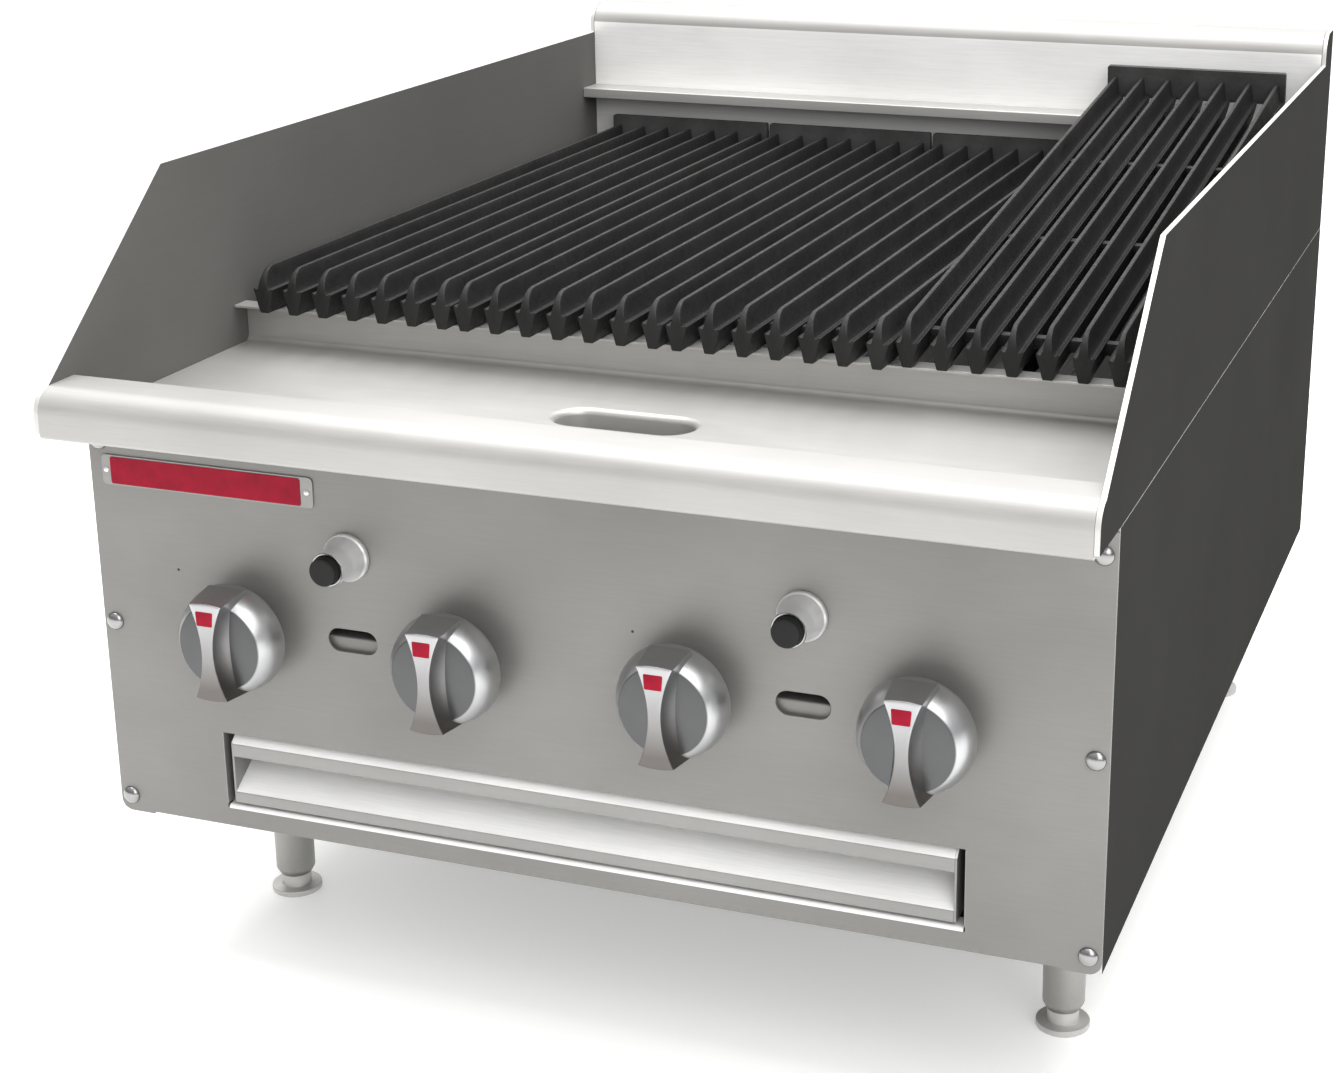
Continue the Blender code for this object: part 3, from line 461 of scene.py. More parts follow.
def sheet(outline, holes, thickness, to_world):
    """A flat sheet with openings and softened edges. An opening is (loop, section): loop(offset) is its
    outline, grown by an offset, and section lists (offset, depth) from the front face to the back face."""
    shape = bmesh.new()
    cache = {}

    def vertex(u, v, w):
        key = (round(u, 7), round(v, 7), round(w, 7))
        if key not in cache:
            cache[key] = shape.verts.new(to_world(u, v, w))
        return cache[key]

    inner = grown(outline, -SOFT)
    loops = [inner] + [loop(section[0][0]) for loop, section in holes]
    flat = [point for loop in loops for point in loop]
    triangles = tessellate_polygon([[Vector((u, v, 0)) for u, v in loop] for loop in loops])
    for depth in (0.0, thickness):
        for triangle in triangles:
            corners = [vertex(*flat[index], depth) for index in triangle]
            if len(set(corners)) == 3:
                shape.faces.new(corners)
    edge = [(inner, 0.0), (outline, SOFT), (outline, thickness - SOFT), (inner, thickness)]
    loft(shape, [[vertex(u, v, depth) for u, v in loop] for loop, depth in edge], False)
    for loop, section in holes:
        rows = [[vertex(u, v, depth) for u, v in loop(offset)] for offset, depth in section]
        loft(shape, rows, False)
    bmesh.ops.dissolve_limit(shape, angle_limit=radians(0.5), verts=shape.verts, edges=shape.edges)
    return shape


def arc(centre, radius, start, end, steps):
    """Points on an arc, with angles in degrees, ends included."""
    angles = (radians(start + (end - start) * step / steps) for step in range(steps + 1))
    return [(centre[0] + radius * cos(a), centre[1] + radius * sin(a)) for a in angles]


def obround(centre, length, width, steps=12):
    """An opening with straight sides and round ends."""
    def loop(offset):
        reach = (length - width) / 2
        radius = width / 2 + offset
        right = arc((centre[0] + reach, centre[1]), radius, -90, 90, steps)
        return right + arc((centre[0] - reach, centre[1]), radius, 90, 270, steps)
    return loop


def round_hole(centre, radius, steps=24):
    def loop(offset):
        return arc(centre, radius + offset, 0, 360 * (steps - 1) / steps, steps - 1)
    return loop


def rectangle(left, right, bottom, top):
    return [(left, bottom), (right, bottom), (right, top), (left, top)]


def window(low, high):
    """A rectangular opening with small round corners."""
    corner = 0.0006

    def loop(offset):
        sides = (low[0] - offset, high[0] + offset, low[1] - offset, high[1] + offset)
        return soft_loop(rectangle(*sides), corner + offset, 3)
    return loop


def cut_edge(thickness):
    """The section of an opening that is cut square, with softened edges."""
    return [(SOFT, 0.0), (0.0, SOFT), (0.0, thickness - SOFT), (SOFT, thickness)]


def turned_rim(radius, depth, thickness, steps=5):
    """The section of an edge that is bent back through a right angle."""
    front = [(radius - radius * sin(a), radius - radius * cos(a)) for a in quarter(steps)]
    inner = radius - thickness
    back = [(radius - inner * sin(a), radius - inner * cos(a)) for a in reversed(quarter(steps))]
    return front + [(0.0, depth), (thickness, depth)] + back


def quarter(steps):
    """Angles from 0 to 90 degrees, in radians."""
    return [pi / 2 * step / steps for step in range(steps + 1)]


def lathe(profile, steps=64, closed=False):
    """A turned shape about Z from (radius, height) points."""
    shape = bmesh.new()
    rings = []
    for radius, height in profile:
        if radius == 0:
            rings.append([shape.verts.new((0, 0, height))])
            continue
        turns = (2 * pi * step / steps for step in range(steps))
        rings.append([shape.verts.new((radius * cos(a), radius * sin(a), height)) for a in turns])
    pairs = list(zip(rings, rings[1:]))
    if closed:
        pairs.append((rings[-1], rings[0]))
    for first, second in pairs:
        for step in range(steps):
            other = (step + 1) % steps
            corners = [first[step % len(first)], first[other % len(first)]]
            corners += [second[other % len(second)], second[step % len(second)]]
            corners = list(dict.fromkeys(corners))
            if len(corners) > 2:
                shape.faces.new(corners)
    return shape


def moved(shape, matrix):
    bmesh.ops.transform(shape, matrix=matrix, verts=shape.verts)
    return shape


def middle(node):
    """The centre of a CAD node's box."""
    low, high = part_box(node)
    return (low + high) / 2


def on_panel(x, z, y=PANEL_FACE):
    """The matrix that stands a piece, turned about its own Z, on the control panel."""
    return Matrix.Translation((x, y, z)) @ Matrix.Rotation(pi / 2, 4, "X")


def on_panel_at(node):
    return on_panel(middle(node).x, middle(node).z)


# ---- the body's sheets

def control_panel():
    """The panel sheet, with a notch along its foot and all its openings."""
    low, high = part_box("front_panel")
    drawer_low, drawer_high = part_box("drawer_front")
    corner, notch, jog = 0.0075, 0.2825, 0.0012
    stem_hole, igniter_hole, slot_length, slot_width, slot_lift = 0.0055, 0.0105, 0.0318, 0.0142, 0.0005
    side, below, above = 0.0052, 0.0040, 0.0015
    outline = arc((low.x + corner, low.z + corner), corner, 180, 270, 8)
    outline += [(-notch, low.z), (-notch, low.z + jog), (notch, low.z + jog), (notch, low.z)]
    outline += arc((high.x - corner, low.z + corner), corner, 270, 360, 8)
    outline += [(high.x, high.z), (low.x, high.z)]
    knobs_at = [middle(f"knob_{number}") for number in FOUR]
    loops = [round_hole((place.x, place.z), stem_hole) for place in knobs_at]
    for number in (1, 2):
        igniter = middle(f"igniter_body_{number}")
        loops.append(round_hole((igniter.x, igniter.z), igniter_hole))
        loops.append(obround((igniter.x, knobs_at[0].z + slot_lift), slot_length, slot_width))
    opening = (drawer_low.x - side, drawer_low.z - below), (drawer_high.x + side, drawer_high.z + above)
    loops.append(window(*opening))
    holes = [(loop, cut_edge(SHEET)) for loop in loops]
    shape = sheet(outline, holes, SHEET, lambda u, v, w: (u, PANEL_FACE + w, v))
    steel_sheet("control_panel_sheet", shape, "panel", ["front_panel"])
    opening_lips(*opening)


def opening_lips(low, high):
    """The lips around the drawer's opening: a rounded floor strip and two side strips."""
    front, back = PANEL_FACE - 0.0001, PANEL_FACE + 0.0116
    thick, relief, bend, proud, side_thick = 0.0010, 0.0032, 0.0023, 0.0002, 0.0006
    centre = (front + bend, low[1])
    floor_strip = arc(centre, bend, 180, 90, 8) + [(back, low[1] + bend), (back, low[1] + bend - thick)]
    floor_strip += arc(centre, bend - thick, 90, 180, 8)
    shape = bar_x(floor_strip, low[0] + thick, high[0] - thick)
    # Painted highlight: the floor strip takes the near-white guard tone.
    steel_sheet("drawer_opening_floor_lip", shape, "guard")
    shape = bmesh.new()
    for x, inward in ((low[0], 1), (high[0], -1)):
        left, right = sorted((x - proud * inward, x + side_thick * inward))
        loop = soft_loop(rectangle(left, right, front, back), 0.0003, 3)
        add_shape(shape, prism(loop, low[1] + relief, high[1], lambda u, v, w: (u, v, w)))
    steel_sheet("drawer_opening_side_lips", shape, "drawer")


def slot_baffles():
    """Plates close behind the lighting slots."""
    half, thick, shelf = 0.023, 0.0010, 0.010
    low, high, front = 0.2150, 0.2372, PANEL_BACK + 0.0022
    line = [(PANEL_BACK + 0.0002, low), (front, low), (front, high), (front + shelf, high)]
    for number in (1, 2):
        centre = middle(f"igniter_body_{number}")
        shape = bar_x(folded(line, [0, 0.0010, 0.0012, 0], thick, 4), centre.x - half, centre.x + half)
        steel_sheet(f"slot_baffle_{number}", shape, "panel", bevel=0.00015)


def nose_rail():
    """The front rail, from its foot round the nose to the deck."""
    low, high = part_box("bullnose_rail")
    deck_low, deck_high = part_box("front_deck")
    back, bend, nose = deck_low.y - GAP, 0.0022, 0.014
    line = [(high.y, low.z), (low.y, low.z), (low.y, high.z), (back, high.z), (back, deck_high.z)]
    outline = folded(line, [0, bend, nose, bend, 0], SHEET, 10)
    shape = bar_x(outline, low.x - GAP, high.x + GAP)
    steel_sheet("nose_rail_sheet", shape, "rail", ["bullnose_rail"])


def deck():
    """The deck, with its drain's rim turned down and a cove along its rear."""
    low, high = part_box("front_deck")
    drain_place, drain_length, drain_width = (0.0, PANEL_FACE + 0.0825), 0.0852, 0.0322
    rim = turned_rim(0.0040, 0.0160, SHEET, 8)
    drain = (obround(drain_place, drain_length, drain_width, 24), rim)
    outline = rectangle(low.x, high.x, low.y, high.y)
    shape = sheet(outline, [drain], SHEET, lambda u, v, w: (u, v, high.z - w))
    cove, edge, top = 0.0032, high.y, high.z
    bend = [(edge - cove + cove * sin(a), top + cove - cove * cos(a)) for a in quarter(6)]
    under = top - 0.0005
    section = [(edge - 0.0001, under)] + bend[::-1] + [(edge - cove, under)]
    add_shape(shape, bar_x(section, low.x, high.x))
    steel_sheet("deck_sheet", shape, "deck", ["front_deck"])


def ledges_and_rails():
    """The folded sheets that carry the grates' ends."""
    open_bend, tight_bend, edge = 0.0026, 0.0010, 0.0003
    low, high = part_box("front_grate_ledge")
    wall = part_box("front_deck")[1].y + GAP
    line = [(low.y, high.z), (wall + SHEET, high.z), (wall + SHEET, low.z + SHEET), (high.y, low.z + SHEET)]
    shape = bar_x(folded(line, [0, open_bend, tight_bend, 0], SHEET, 6), low.x, high.x)
    steel_sheet("front_ledge_sheet", shape, "ledge", ["front_grate_ledge"], bevel=edge)
    low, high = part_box("rear_grate_ledge")
    front = low.y + 0.020
    line = [(low.y, low.z + SHEET), (front, low.z + SHEET), (front, high.z), (high.y, high.z)]
    shape = bar_x(folded(line, [0, tight_bend, open_bend, 0], SHEET, 6), low.x, high.x)
    piece("rear_ledge_sheet", shape, "mill", HOUSING, ["rear_grate_ledge"], bevel=edge)
    low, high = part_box("upper_grate_rail")
    line = [(low.y, low.z), (low.y, high.z), (high.y, high.z)]
    shape = bar_x(folded(line, [0, tight_bend, 0], SHEET, 6), low.x, high.x)
    steel_sheet("upper_rail_sheet", shape, "deck", ["upper_grate_rail"], bevel=edge)


def back_guard():
    """The rear splash, rolled along its top: its front is painted light with the guard tone, its top and
    back painted darker with the rail and panel tones.
    """
    low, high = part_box("back_guard")
    line = [(low.y, low.z), (low.y, high.z), (high.y, high.z), (high.y, low.z)]
    shape = bar_x(folded(line, [0, 0.017, 0.0026, 0], SHEET, 12), low.x, high.x)
    obj = steel_sheet("back_guard_sheet", shape, "guard", ["back_guard"], bevel=0.0002)
    # Painted shade: the back faces take the panel tone and the top faces the darker rail tone, instead of
    # the painted-light guard tone.
    repaint(obj.data, "panel", lambda face: face.normal.y > 0.5)
    repaint(obj.data, "rail", lambda face: face.normal.y <= 0.5 and face.normal.z > 0.15)


def splash_guards():
    """The tall side sheets: round at the nose, a straight slant, a level top and a round rear corner."""
    nose_low, nose_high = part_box("bullnose_rail")
    guard_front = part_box("back_guard")[0].y
    rail_bend, nose_radius, nose_steps = 0.014, 0.0139, 12
    nose_centre = (nose_low.y + rail_bend, nose_high.z - rail_bend)
    nose_foot = (nose_low.y + 0.0001, nose_low.z + 0.0025)
    brow = (PANEL_FACE + 0.0895, 0.488)
    radii = [0.0012] + [0] * (nose_steps + 1) + [0.0015, 0.001, 0.017, 0.0015, 0.0005, 0.0005]
    for side, inward in (("left", 1), ("right", -1)):
        low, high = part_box(f"splash_guard_{side}")
        points = [nose_foot] + arc(nose_centre, nose_radius, 180, 100, nose_steps)
        points += [brow, (guard_front, brow[1]), (guard_front, high.z), (high.y, high.z)]
        points += [(high.y, low.z), (PANEL_FACE, low.z)]
        outer = low.x if inward == 1 else high.x
        outline = soft_loop(points, radii, 8)
        shape = prism(outline, 0.0, high.x - low.x, lambda u, v, w: (outer + inward * w, u, v))
        name = f"splash_sheet_{side}"
        obj = piece(name, shape, "side", HOUSING, [f"splash_guard_{side}"], bevel=0.0004)
        # Painted reflection: the inner face takes the lighter inner tone, the rest stays painted dark.
        repaint(obj.data, "side_inner", lambda face: face.normal.x * inward > 0.9)


def side_panels():
    for side in ("left", "right"):
        low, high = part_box(f"side_panel_{side}")
        outline = soft_loop(rectangle(low.y, high.y, low.z, high.z), 0.001, 4)
        shape = prism(outline, 0.0, high.x - low.x, lambda u, v, w: (low.x + w, u, v))
        name = f"side_sheet_{side}"
        # Painted reflection: the side panels' faces are painted dark too.
        piece(name, shape, "side", HOUSING, [f"side_panel_{side}"], bevel=0.0002)


# ---- grates

RIBS = 7
RIB_PITCH = 0.0207
GRATE_LENGTH = 0.5605
GRATE_HEIGHT = 0.0290
FLANGE_TOP = 0.037
FLANGE_THICK = 0.005
WING_HEIGHT = 0.0154
BLADE_ROUND = 0.013
WEB_PLACES = (0.032, 0.207, 0.382)
BLADE_WIDTHS = ((0.0155, 0.0036), (0.0172, 0.0030), (0.0205, 0.0024), (0.0250, 0.0018), (0.0290, 0.0013))


def blade_half(height):
    """Half the blade's width at a height: it swells towards its foot."""
    for (low, wide), (high, narrow) in zip(BLADE_WIDTHS, BLADE_WIDTHS[1:]):
        if height <= high:
            share = max(height - low, 0.0) / (high - low)
            return wide + (narrow - wide) * share
    return BLADE_WIDTHS[-1][1]


def rib_section(top):
    """Half of a rib's section: the tapered foot, the wing with its raised lip, and the blade to a height."""
    half = [
        (0.0026, 0.0), (0.0031, 0.0005), (0.0047, 0.0070), (0.0062, 0.0128), (0.0067, 0.0145),
        (0.0068, 0.0153), (0.0063, 0.0157), (0.0055, 0.0151), (0.0044, 0.0149), (0.0037, 0.0154),
    ]
    foot, crown = WING_HEIGHT + 0.0003, max(top - 0.0008, WING_HEIGHT + 0.0005)
    levels = 5
    for step in range(levels + 1):
        height = foot + (crown - foot) * step / levels
        half.append((blade_half(height), height))
    wide = blade_half(crown)
    top_round = ((0.86, 0.0005), (0.55, 0.00072), (0.2, 0.0008))
    return half + [(wide * share, crown + up) for share, up in top_round]


def rib(x, length):
    """One rib, lofted along Y, with its front end rounded off."""
    shape = bmesh.new()
    soft, foot = 0.0005, 0.001
    nose = [BLADE_ROUND * (1 - cos(a)) for a in quarter(14)]
    stations = sorted(set(round(place, 6) for place in [0.0, 0.0002, soft] + nose + [length]))
    rows = []
    for place in stations:
        reach = max(BLADE_ROUND - place, 0.0)
        top = GRATE_HEIGHT - BLADE_ROUND + sqrt(max(BLADE_ROUND ** 2 - reach ** 2, 0.0))
        inset = soft - sqrt(max(soft ** 2 - max(soft - place, 0.0) ** 2, 0.0))
        half = [(max(u - inset, 0.0003), v + (inset if v < foot else 0.0)) for u, v in rib_section(top)]
        loop = half + [(-u, v) for u, v in reversed(half)]
        rows.append([shape.verts.new((x + u, place, v)) for u, v in loop])
    return loft(shape, rows)


def rounded_box(low, high, width):
    """A box whose edges are rounded off by a width."""
    shape = bmesh.new()
    size = Vector(high) - Vector(low)
    centre = (Vector(high) + Vector(low)) / 2
    matrix = Matrix.Translation(centre) @ Matrix.Diagonal((*size, 1))
    bmesh.ops.create_cube(shape, size=1.0, matrix=matrix)
    bevel_sharp(shape, 60, width, 2)
    return shape


def grate_mesh():
    """A whole casting: ribs, short webs between them, and a flange across the rear."""
    first = -RIB_PITCH * (RIBS - 1) / 2
    web_gap, web_half, web_low, web_high, overlap = 0.0045, 0.003, 0.0065, 0.0142, 0.002
    shape = bmesh.new()
    for number in range(RIBS):
        add_shape(shape, rib(number * RIB_PITCH + first, GRATE_LENGTH + overlap))
    for place in WEB_PLACES:
        for number in range(RIBS - 1):
            left = number * RIB_PITCH + first + web_gap
            low = (left, place - web_half, web_low)
            high = (left + RIB_PITCH - 2 * web_gap, place + web_half, web_high)
            add_shape(shape, rounded_box(low, high, 0.0009))
    half, bottom, radii = 0.0685, 0.013, [0.001, 0.001, 0.0015, 0.0015]
    outline = soft_loop(rectangle(-half, half, bottom, FLANGE_TOP), radii, 4)
    flange = prism(outline, GRATE_LENGTH, GRATE_LENGTH + FLANGE_THICK, lambda u, v, w: (u, w, v))
    bevel_sharp(flange, 60, 0.0008, 2)
    mesh = mesh_of("grate_casting", add_shape(shape, flange), "iron")
    in_flange = GRATE_LENGTH - 0.0001
    # Painted light: the flange's faces, all but its rear face, take the lighter iron tone.
    repaint(mesh, "iron_flange", lambda face: face.center.y > in_flange and face.normal.y < 0.5)
    return mesh


def bevel_sharp(shape, angle, width, segments):
    """Rounds the edges of a bmesh that turn by more than an angle in degrees."""
    sharp = [edge for edge in shape.edges if edge.calc_face_angle(0) > radians(angle)]
    bmesh.ops.bevel(shape, geom=sharp, offset=width, segments=segments, affect="EDGES", profile=0.5)


def grate_tilt(rise):
    """A grate's slope, from the height of its box."""
    if rise < 0.05:
        return 0.0
    length = GRATE_LENGTH + FLANGE_THICK
    reach = sqrt(length ** 2 + FLANGE_TOP ** 2)
    return atan2(rise, sqrt(reach ** 2 - rise ** 2)) - atan2(FLANGE_TOP, length)


def grates():
    mesh = grate_mesh()
    for number in FOUR:
        low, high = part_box(f"grate_{number}")
        tilt = grate_tilt(high.z - low.z)
        foot = Vector((middle(f"grate_{number}").x, low.y + GRATE_HEIGHT * sin(tilt), low.z))
        matrix = Matrix.Translation(foot) @ Matrix.Rotation(tilt, 4, "X")
        body = f"grate_{number}_casting"
        finished(f"grate_{number}_ribs", mesh, body, [f"grate_{number}"], matrix=matrix)


# ---- knobs, igniters, screws

KNOB_RADIUS = 0.0327
KNOB_SHOULDER = 0.0149
KNOB_FACE = 0.0324
FACE_RADIUS = 0.0252
GRIP_FRONT = 0.044
GRIP_TOP = 0.0290
GRIP_BOTTOM = -0.0275


def knob_body():
    """The knob's domed round body, with a flat face inside a crisp rim."""
    drop = KNOB_RADIUS - FACE_RADIUS
    rise = KNOB_FACE - KNOB_SHOULDER
    bow = (drop ** 2 + rise ** 2) / (2 * drop)
    end = atan2(rise, bow - drop)
    steps = 14
    turns = [end * step / steps for step in range(1, steps)]
    dome = [(KNOB_RADIUS - bow + bow * cos(a), KNOB_SHOULDER + bow * sin(a)) for a in turns]
    profile = [(0.0, 0.0032), (0.0085, 0.0032), (0.0090, 0.0038), (0.0092, 0.0105), (0.0110, 0.0130)]
    profile += [(0.0290, 0.0134), (0.0316, 0.0136), (0.0324, 0.0141), (KNOB_RADIUS, KNOB_SHOULDER)]
    profile += dome
    profile += [(FACE_RADIUS + 0.0002, KNOB_FACE - 0.00015), (FACE_RADIUS - 0.0003, KNOB_FACE)]
    profile += [(0.0, KNOB_FACE)]
    return lathe(profile, 96)


def knob_grip():
    """The waisted grip, lofted from its foot to its head."""
    stations, crown, bulge = 40, 0.0010, 0.0014
    waist_front, waist_swell, end_front, end_swell = 0.0037, 0.0039, 0.0104, 0.0008
    top_slant, bottom_slant = 0.1345, 0.0875
    levels = [0.019, 0.024, 0.028, 0.031, KNOB_FACE, 0.0338, 0.0352, 0.0368, 0.0386, 0.0404, 0.0420, 0.0433]
    shape = bmesh.new()
    rows = []
    for station in range(stations + 1):
        share = station / stations
        end = 2 * share - 1
        section = []
        for level in levels:
            depth = (GRIP_FRONT - level) / (GRIP_FRONT - KNOB_FACE)
            waist = waist_front + waist_swell * max(depth, 0.0) ** 1.7
            wide = end_front + end_swell * depth
            section.append((waist + (wide - waist) * end ** 2, level))
        edge = section[-1][0]
        section += [(edge - 0.0001, 0.04365), (edge - 0.00035, 0.0439), (edge - 0.0007, GRIP_FRONT)]
        section += [(edge * part, GRIP_FRONT + 0.0001) for part in (0.75, 0.5, 0.25)]
        row = []
        for u, level in section + [(-u, level) for u, level in reversed(section)]:
            top = GRIP_TOP + (GRIP_FRONT - level) * top_slant
            bottom = GRIP_BOTTOM - (GRIP_FRONT - level) * bottom_slant
            sink = crown * end ** 2 * max(level - KNOB_FACE, 0.0) / (GRIP_FRONT - KNOB_FACE)
            bow = bulge * end ** 7 * (1 - (u / section[0][0]) ** 2)
            row.append(shape.verts.new((u, bottom + (top - bottom) * share + bow, level - sink)))
        rows.append(row)
    loft(shape, rows)
    bmesh.ops.recalc_face_normals(shape, faces=shape.faces)
    bevel_sharp(shape, 55, 0.0005, 3)
    return shape


def knob_mark():
    """A plain enamel patch near the grip's head, sloped to lie on its crown."""
    corners = [(-0.0054, 0.0172), (0.0046, 0.0172), (0.0052, 0.0258), (-0.0060, 0.0258)]
    proud, thick, flat_end = 0.00002, 0.0012, 0.0120
    slope = 0.62 * 0.004 / (GRIP_TOP - GRIP_BOTTOM)

    def to_world(u, v, w):
        return (u, v, GRIP_FRONT + proud - slope * (v - flat_end) + w)

    return prism(soft_loop(corners, 0.0008, 4), -thick, 0.0, to_world)


def knobs():
    body_mesh = mesh_of("knob_body", knob_body(), "knob")
    grip_mesh = mesh_of("knob_grip", knob_grip(), "grip")
    mark_mesh = mesh_of("knob_mark", knob_mark(), "enamel")
    for number in FOUR:
        node = f"knob_{number}"
        parts = ("shell", body_mesh, [node]), ("grip", grip_mesh, ()), ("mark", mark_mesh, ())
        for part, mesh, nodes in parts:
            name, body = f"{node}_{part}", f"{node}_body"
            finished(name, mesh, body, nodes, 28, matrix=on_panel_at(node))


def igniters():
    """Chrome collars with a grey front ring, and the black buttons in them."""
    collar = [
        (0.0085, 0.0230), (0.0089, 0.0235), (0.0097, 0.0235), (0.01005, 0.0231), (0.0102, 0.0222),
        (0.0102, 0.0135), (0.0104, 0.0122), (0.0109, 0.0108), (0.0129, 0.0052), (0.0131, 0.0044),
        (0.0134, 0.0038), (0.0140, 0.0034), (0.0143, 0.0027), (0.0143, 0.0010), (0.0140, GAP),
        (0.0096, GAP), (0.0096, -0.030), (0.0085, -0.030),
    ]
    collar_mesh = mesh_of("igniter_collar", lathe(collar, 72, closed=True), "bright")
    repaint(collar_mesh, "screw", lambda face: face.normal.z > 0.6 and face.center.z > 0.02)
    cap = [(0.0, 0.0285), (0.0052, 0.0287), (0.0071, 0.0288), (0.0078, 0.0286), (0.0082, 0.0280)]
    cap += [(0.0083, 0.0270), (0.0083, -0.018), (0.0, -0.018)]
    cap_mesh = mesh_of("igniter_cap", lathe(cap, 64), "plastic")
    for number in (1, 2):
        node, button = f"igniter_body_{number}", f"igniter_button_{number}"
        matrix = on_panel_at(node)
        finished(f"igniter_{number}_collar", collar_mesh, HOUSING, [node], matrix=matrix)
        body = f"igniter_{number}_button"
        finished(f"igniter_{number}_cap", cap_mesh, body, [button], matrix=matrix)


def screw_dome(radius, rise, ring=48):
    """A plain domed screw head."""
    crown = [(radius * sin(a), rise * cos(a)) for a in quarter(14)[1:]]
    return lathe([(0.0, rise)] + crown + [(radius, -SOFT), (0, -SOFT)], ring)


def screws():
    mesh = mesh_of("screw_head", screw_dome(0.0056, 0.0034), "screw")
    for number in range(1, 7):
        node = f"panel_screw_{number}"
        matrix = on_panel_at(node)
        finished(f"screw_head_{number}", mesh, HOUSING, [node], 60, matrix=matrix)


def badge():
    """A blank name plate: a steel tag, an enamel field and two small screws."""
    left, right, bottom, top = -0.2965, -0.1565, 0.3150, 0.3335
    left_rim, right_rim, rim = 0.006, 0.008, 0.001
    tag_thick, field_thick, bedding = 0.0008, 0.0004, 0.00075
    face = PANEL_FACE - 0.0001
    tag = soft_loop(rectangle(left, right, bottom, top), 0.003, 6)
    shape = prism(tag, 0.0, tag_thick, lambda u, v, w: (u, face - w, v))
    steel_sheet("badge_tag", shape, "drawer", bevel=0.0002)
    field = soft_loop(rectangle(left + left_rim, right - right_rim, bottom + rim, top - rim), 0.0014, 5)
    shape = prism(field, 0.0, field_thick, lambda u, v, w: (u, face - bedding - w, v))
    steel_sheet("badge_field", shape, "enamel", bevel=0.00012)
    mesh = mesh_of("badge_screw", screw_dome(0.0017, 0.0011, 24), "bright")
    for number, x in enumerate((left + 0.0030, right - 0.0040), 1):
        matrix = on_panel(x, (bottom + top) / 2, face - tag_thick)
        finished(f"badge_screw_{number}", mesh, HOUSING, (), 60, matrix=matrix)


def panel_rivets():
    mesh = mesh_of("panel_rivet", lathe([(0.0, 0.0005), (0.0006, 0.0004), (0.0008, 0.0)], 16), "pipe")
    for number, (x, z) in enumerate(((-0.2505, 0.2667), (0.0381, 0.2660)), 1):
        finished(f"panel_rivet_{number}", mesh, HOUSING, (), 60, matrix=on_panel(x, z))


# ---- drawer

def drawer():
    """The drawer's front, with a band over its sloping finger pull, and the tray behind it."""
    low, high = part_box("drawer_front")
    band_low, band_high, lip, rise = 0.1510, 0.1595, 0.1283, 0.0205
    front, band_back, back, under = low.y, low.y + 0.0022, high.y - SHEET, high.z - SHEET
    outline = [
        (front, band_high), (front, band_low), (band_back, band_low), (band_back, band_high - 0.001),
        (front + 0.007, under), (back, under), (back, lip + rise), (front, lip),
        (front, low.z), (high.y, low.z), (high.y, high.z), (front + 0.0052, high.z),
    ]
    radii = [0.0018, 0.0009, 0.0009, 0.001, 0.002, 0.001, 0.002, 0.0016, 0.0014, 0.0008, 0.0008, 0.0020]
    end_thick, overlap, inset = 0.0013, 0.0001, 0.0003
    start, end = low.x + end_thick, high.x - end_thick
    shape = bar_x(soft_loop(outline, radii, 5), start - overlap, end + overlap)
    near, far, bottom, top = front + 0.0004, high.y - inset, low.z + inset, high.z - inset
    cheek = [(near, band_high), (near, bottom), (far, bottom), (far, top), (front + 0.0055, top)]
    for sides in ((low.x, start), (end, high.x)):
        add_shape(shape, bar_x(soft_loop(cheek, 0.001, 4), *sides))
    nodes = ["drawer_front"]
    obj = piece("drawer_front_sheet", shape, "drawer", "drip_drawer", nodes, 0.00025)
    # Painted light: the slope faces of the finger pull take the near-white slope tone.
    repaint(obj.data, "slope", lambda face: face.normal.z > 0.5 and face.normal.y < -0.2)
    shape, nodes = open_tray(*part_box("drip_tray")), ["drip_tray"]
    piece("drip_tray_sheet", shape, "mill", "drip_drawer", nodes, 0.0003)


def open_tray(low, high):
    """A pressed tray: rounded floor edges and corners, and a rolled rim."""
    shape = bmesh.new()
    bend, corner, floor_inset = 0.004, 0.009, 0.012
    inside, tight = bend - SHEET, corner - SHEET

    def ring(inset, height, radius):
        sides = rectangle(low.x + inset, high.x - inset, low.y + inset, high.y - inset)
        return [shape.verts.new((x, y, height)) for x, y in soft_loop(sides, radius, 5)]

    outer = [(floor_inset, low.z, corner), (bend, low.z, corner)]
    outer += [(bend * (1 - sin(a)), low.z + bend * (1 - cos(a)), corner) for a in quarter(4)[1:]]
    outer += [(0.0, high.z - 0.001, corner), (0.0004, high.z, corner)]
    inner = [(SHEET, high.z, tight), (SHEET, low.z + bend, tight)]
    for a in reversed(quarter(4)[:-1]):
        inner.append((bend - inside * sin(a), low.z + bend - inside * cos(a), tight))
    inner += [(floor_inset, low.z + SHEET, corner)]
    return loft(shape, [ring(*part) for part in outer + inner])


# ---- legs and feet

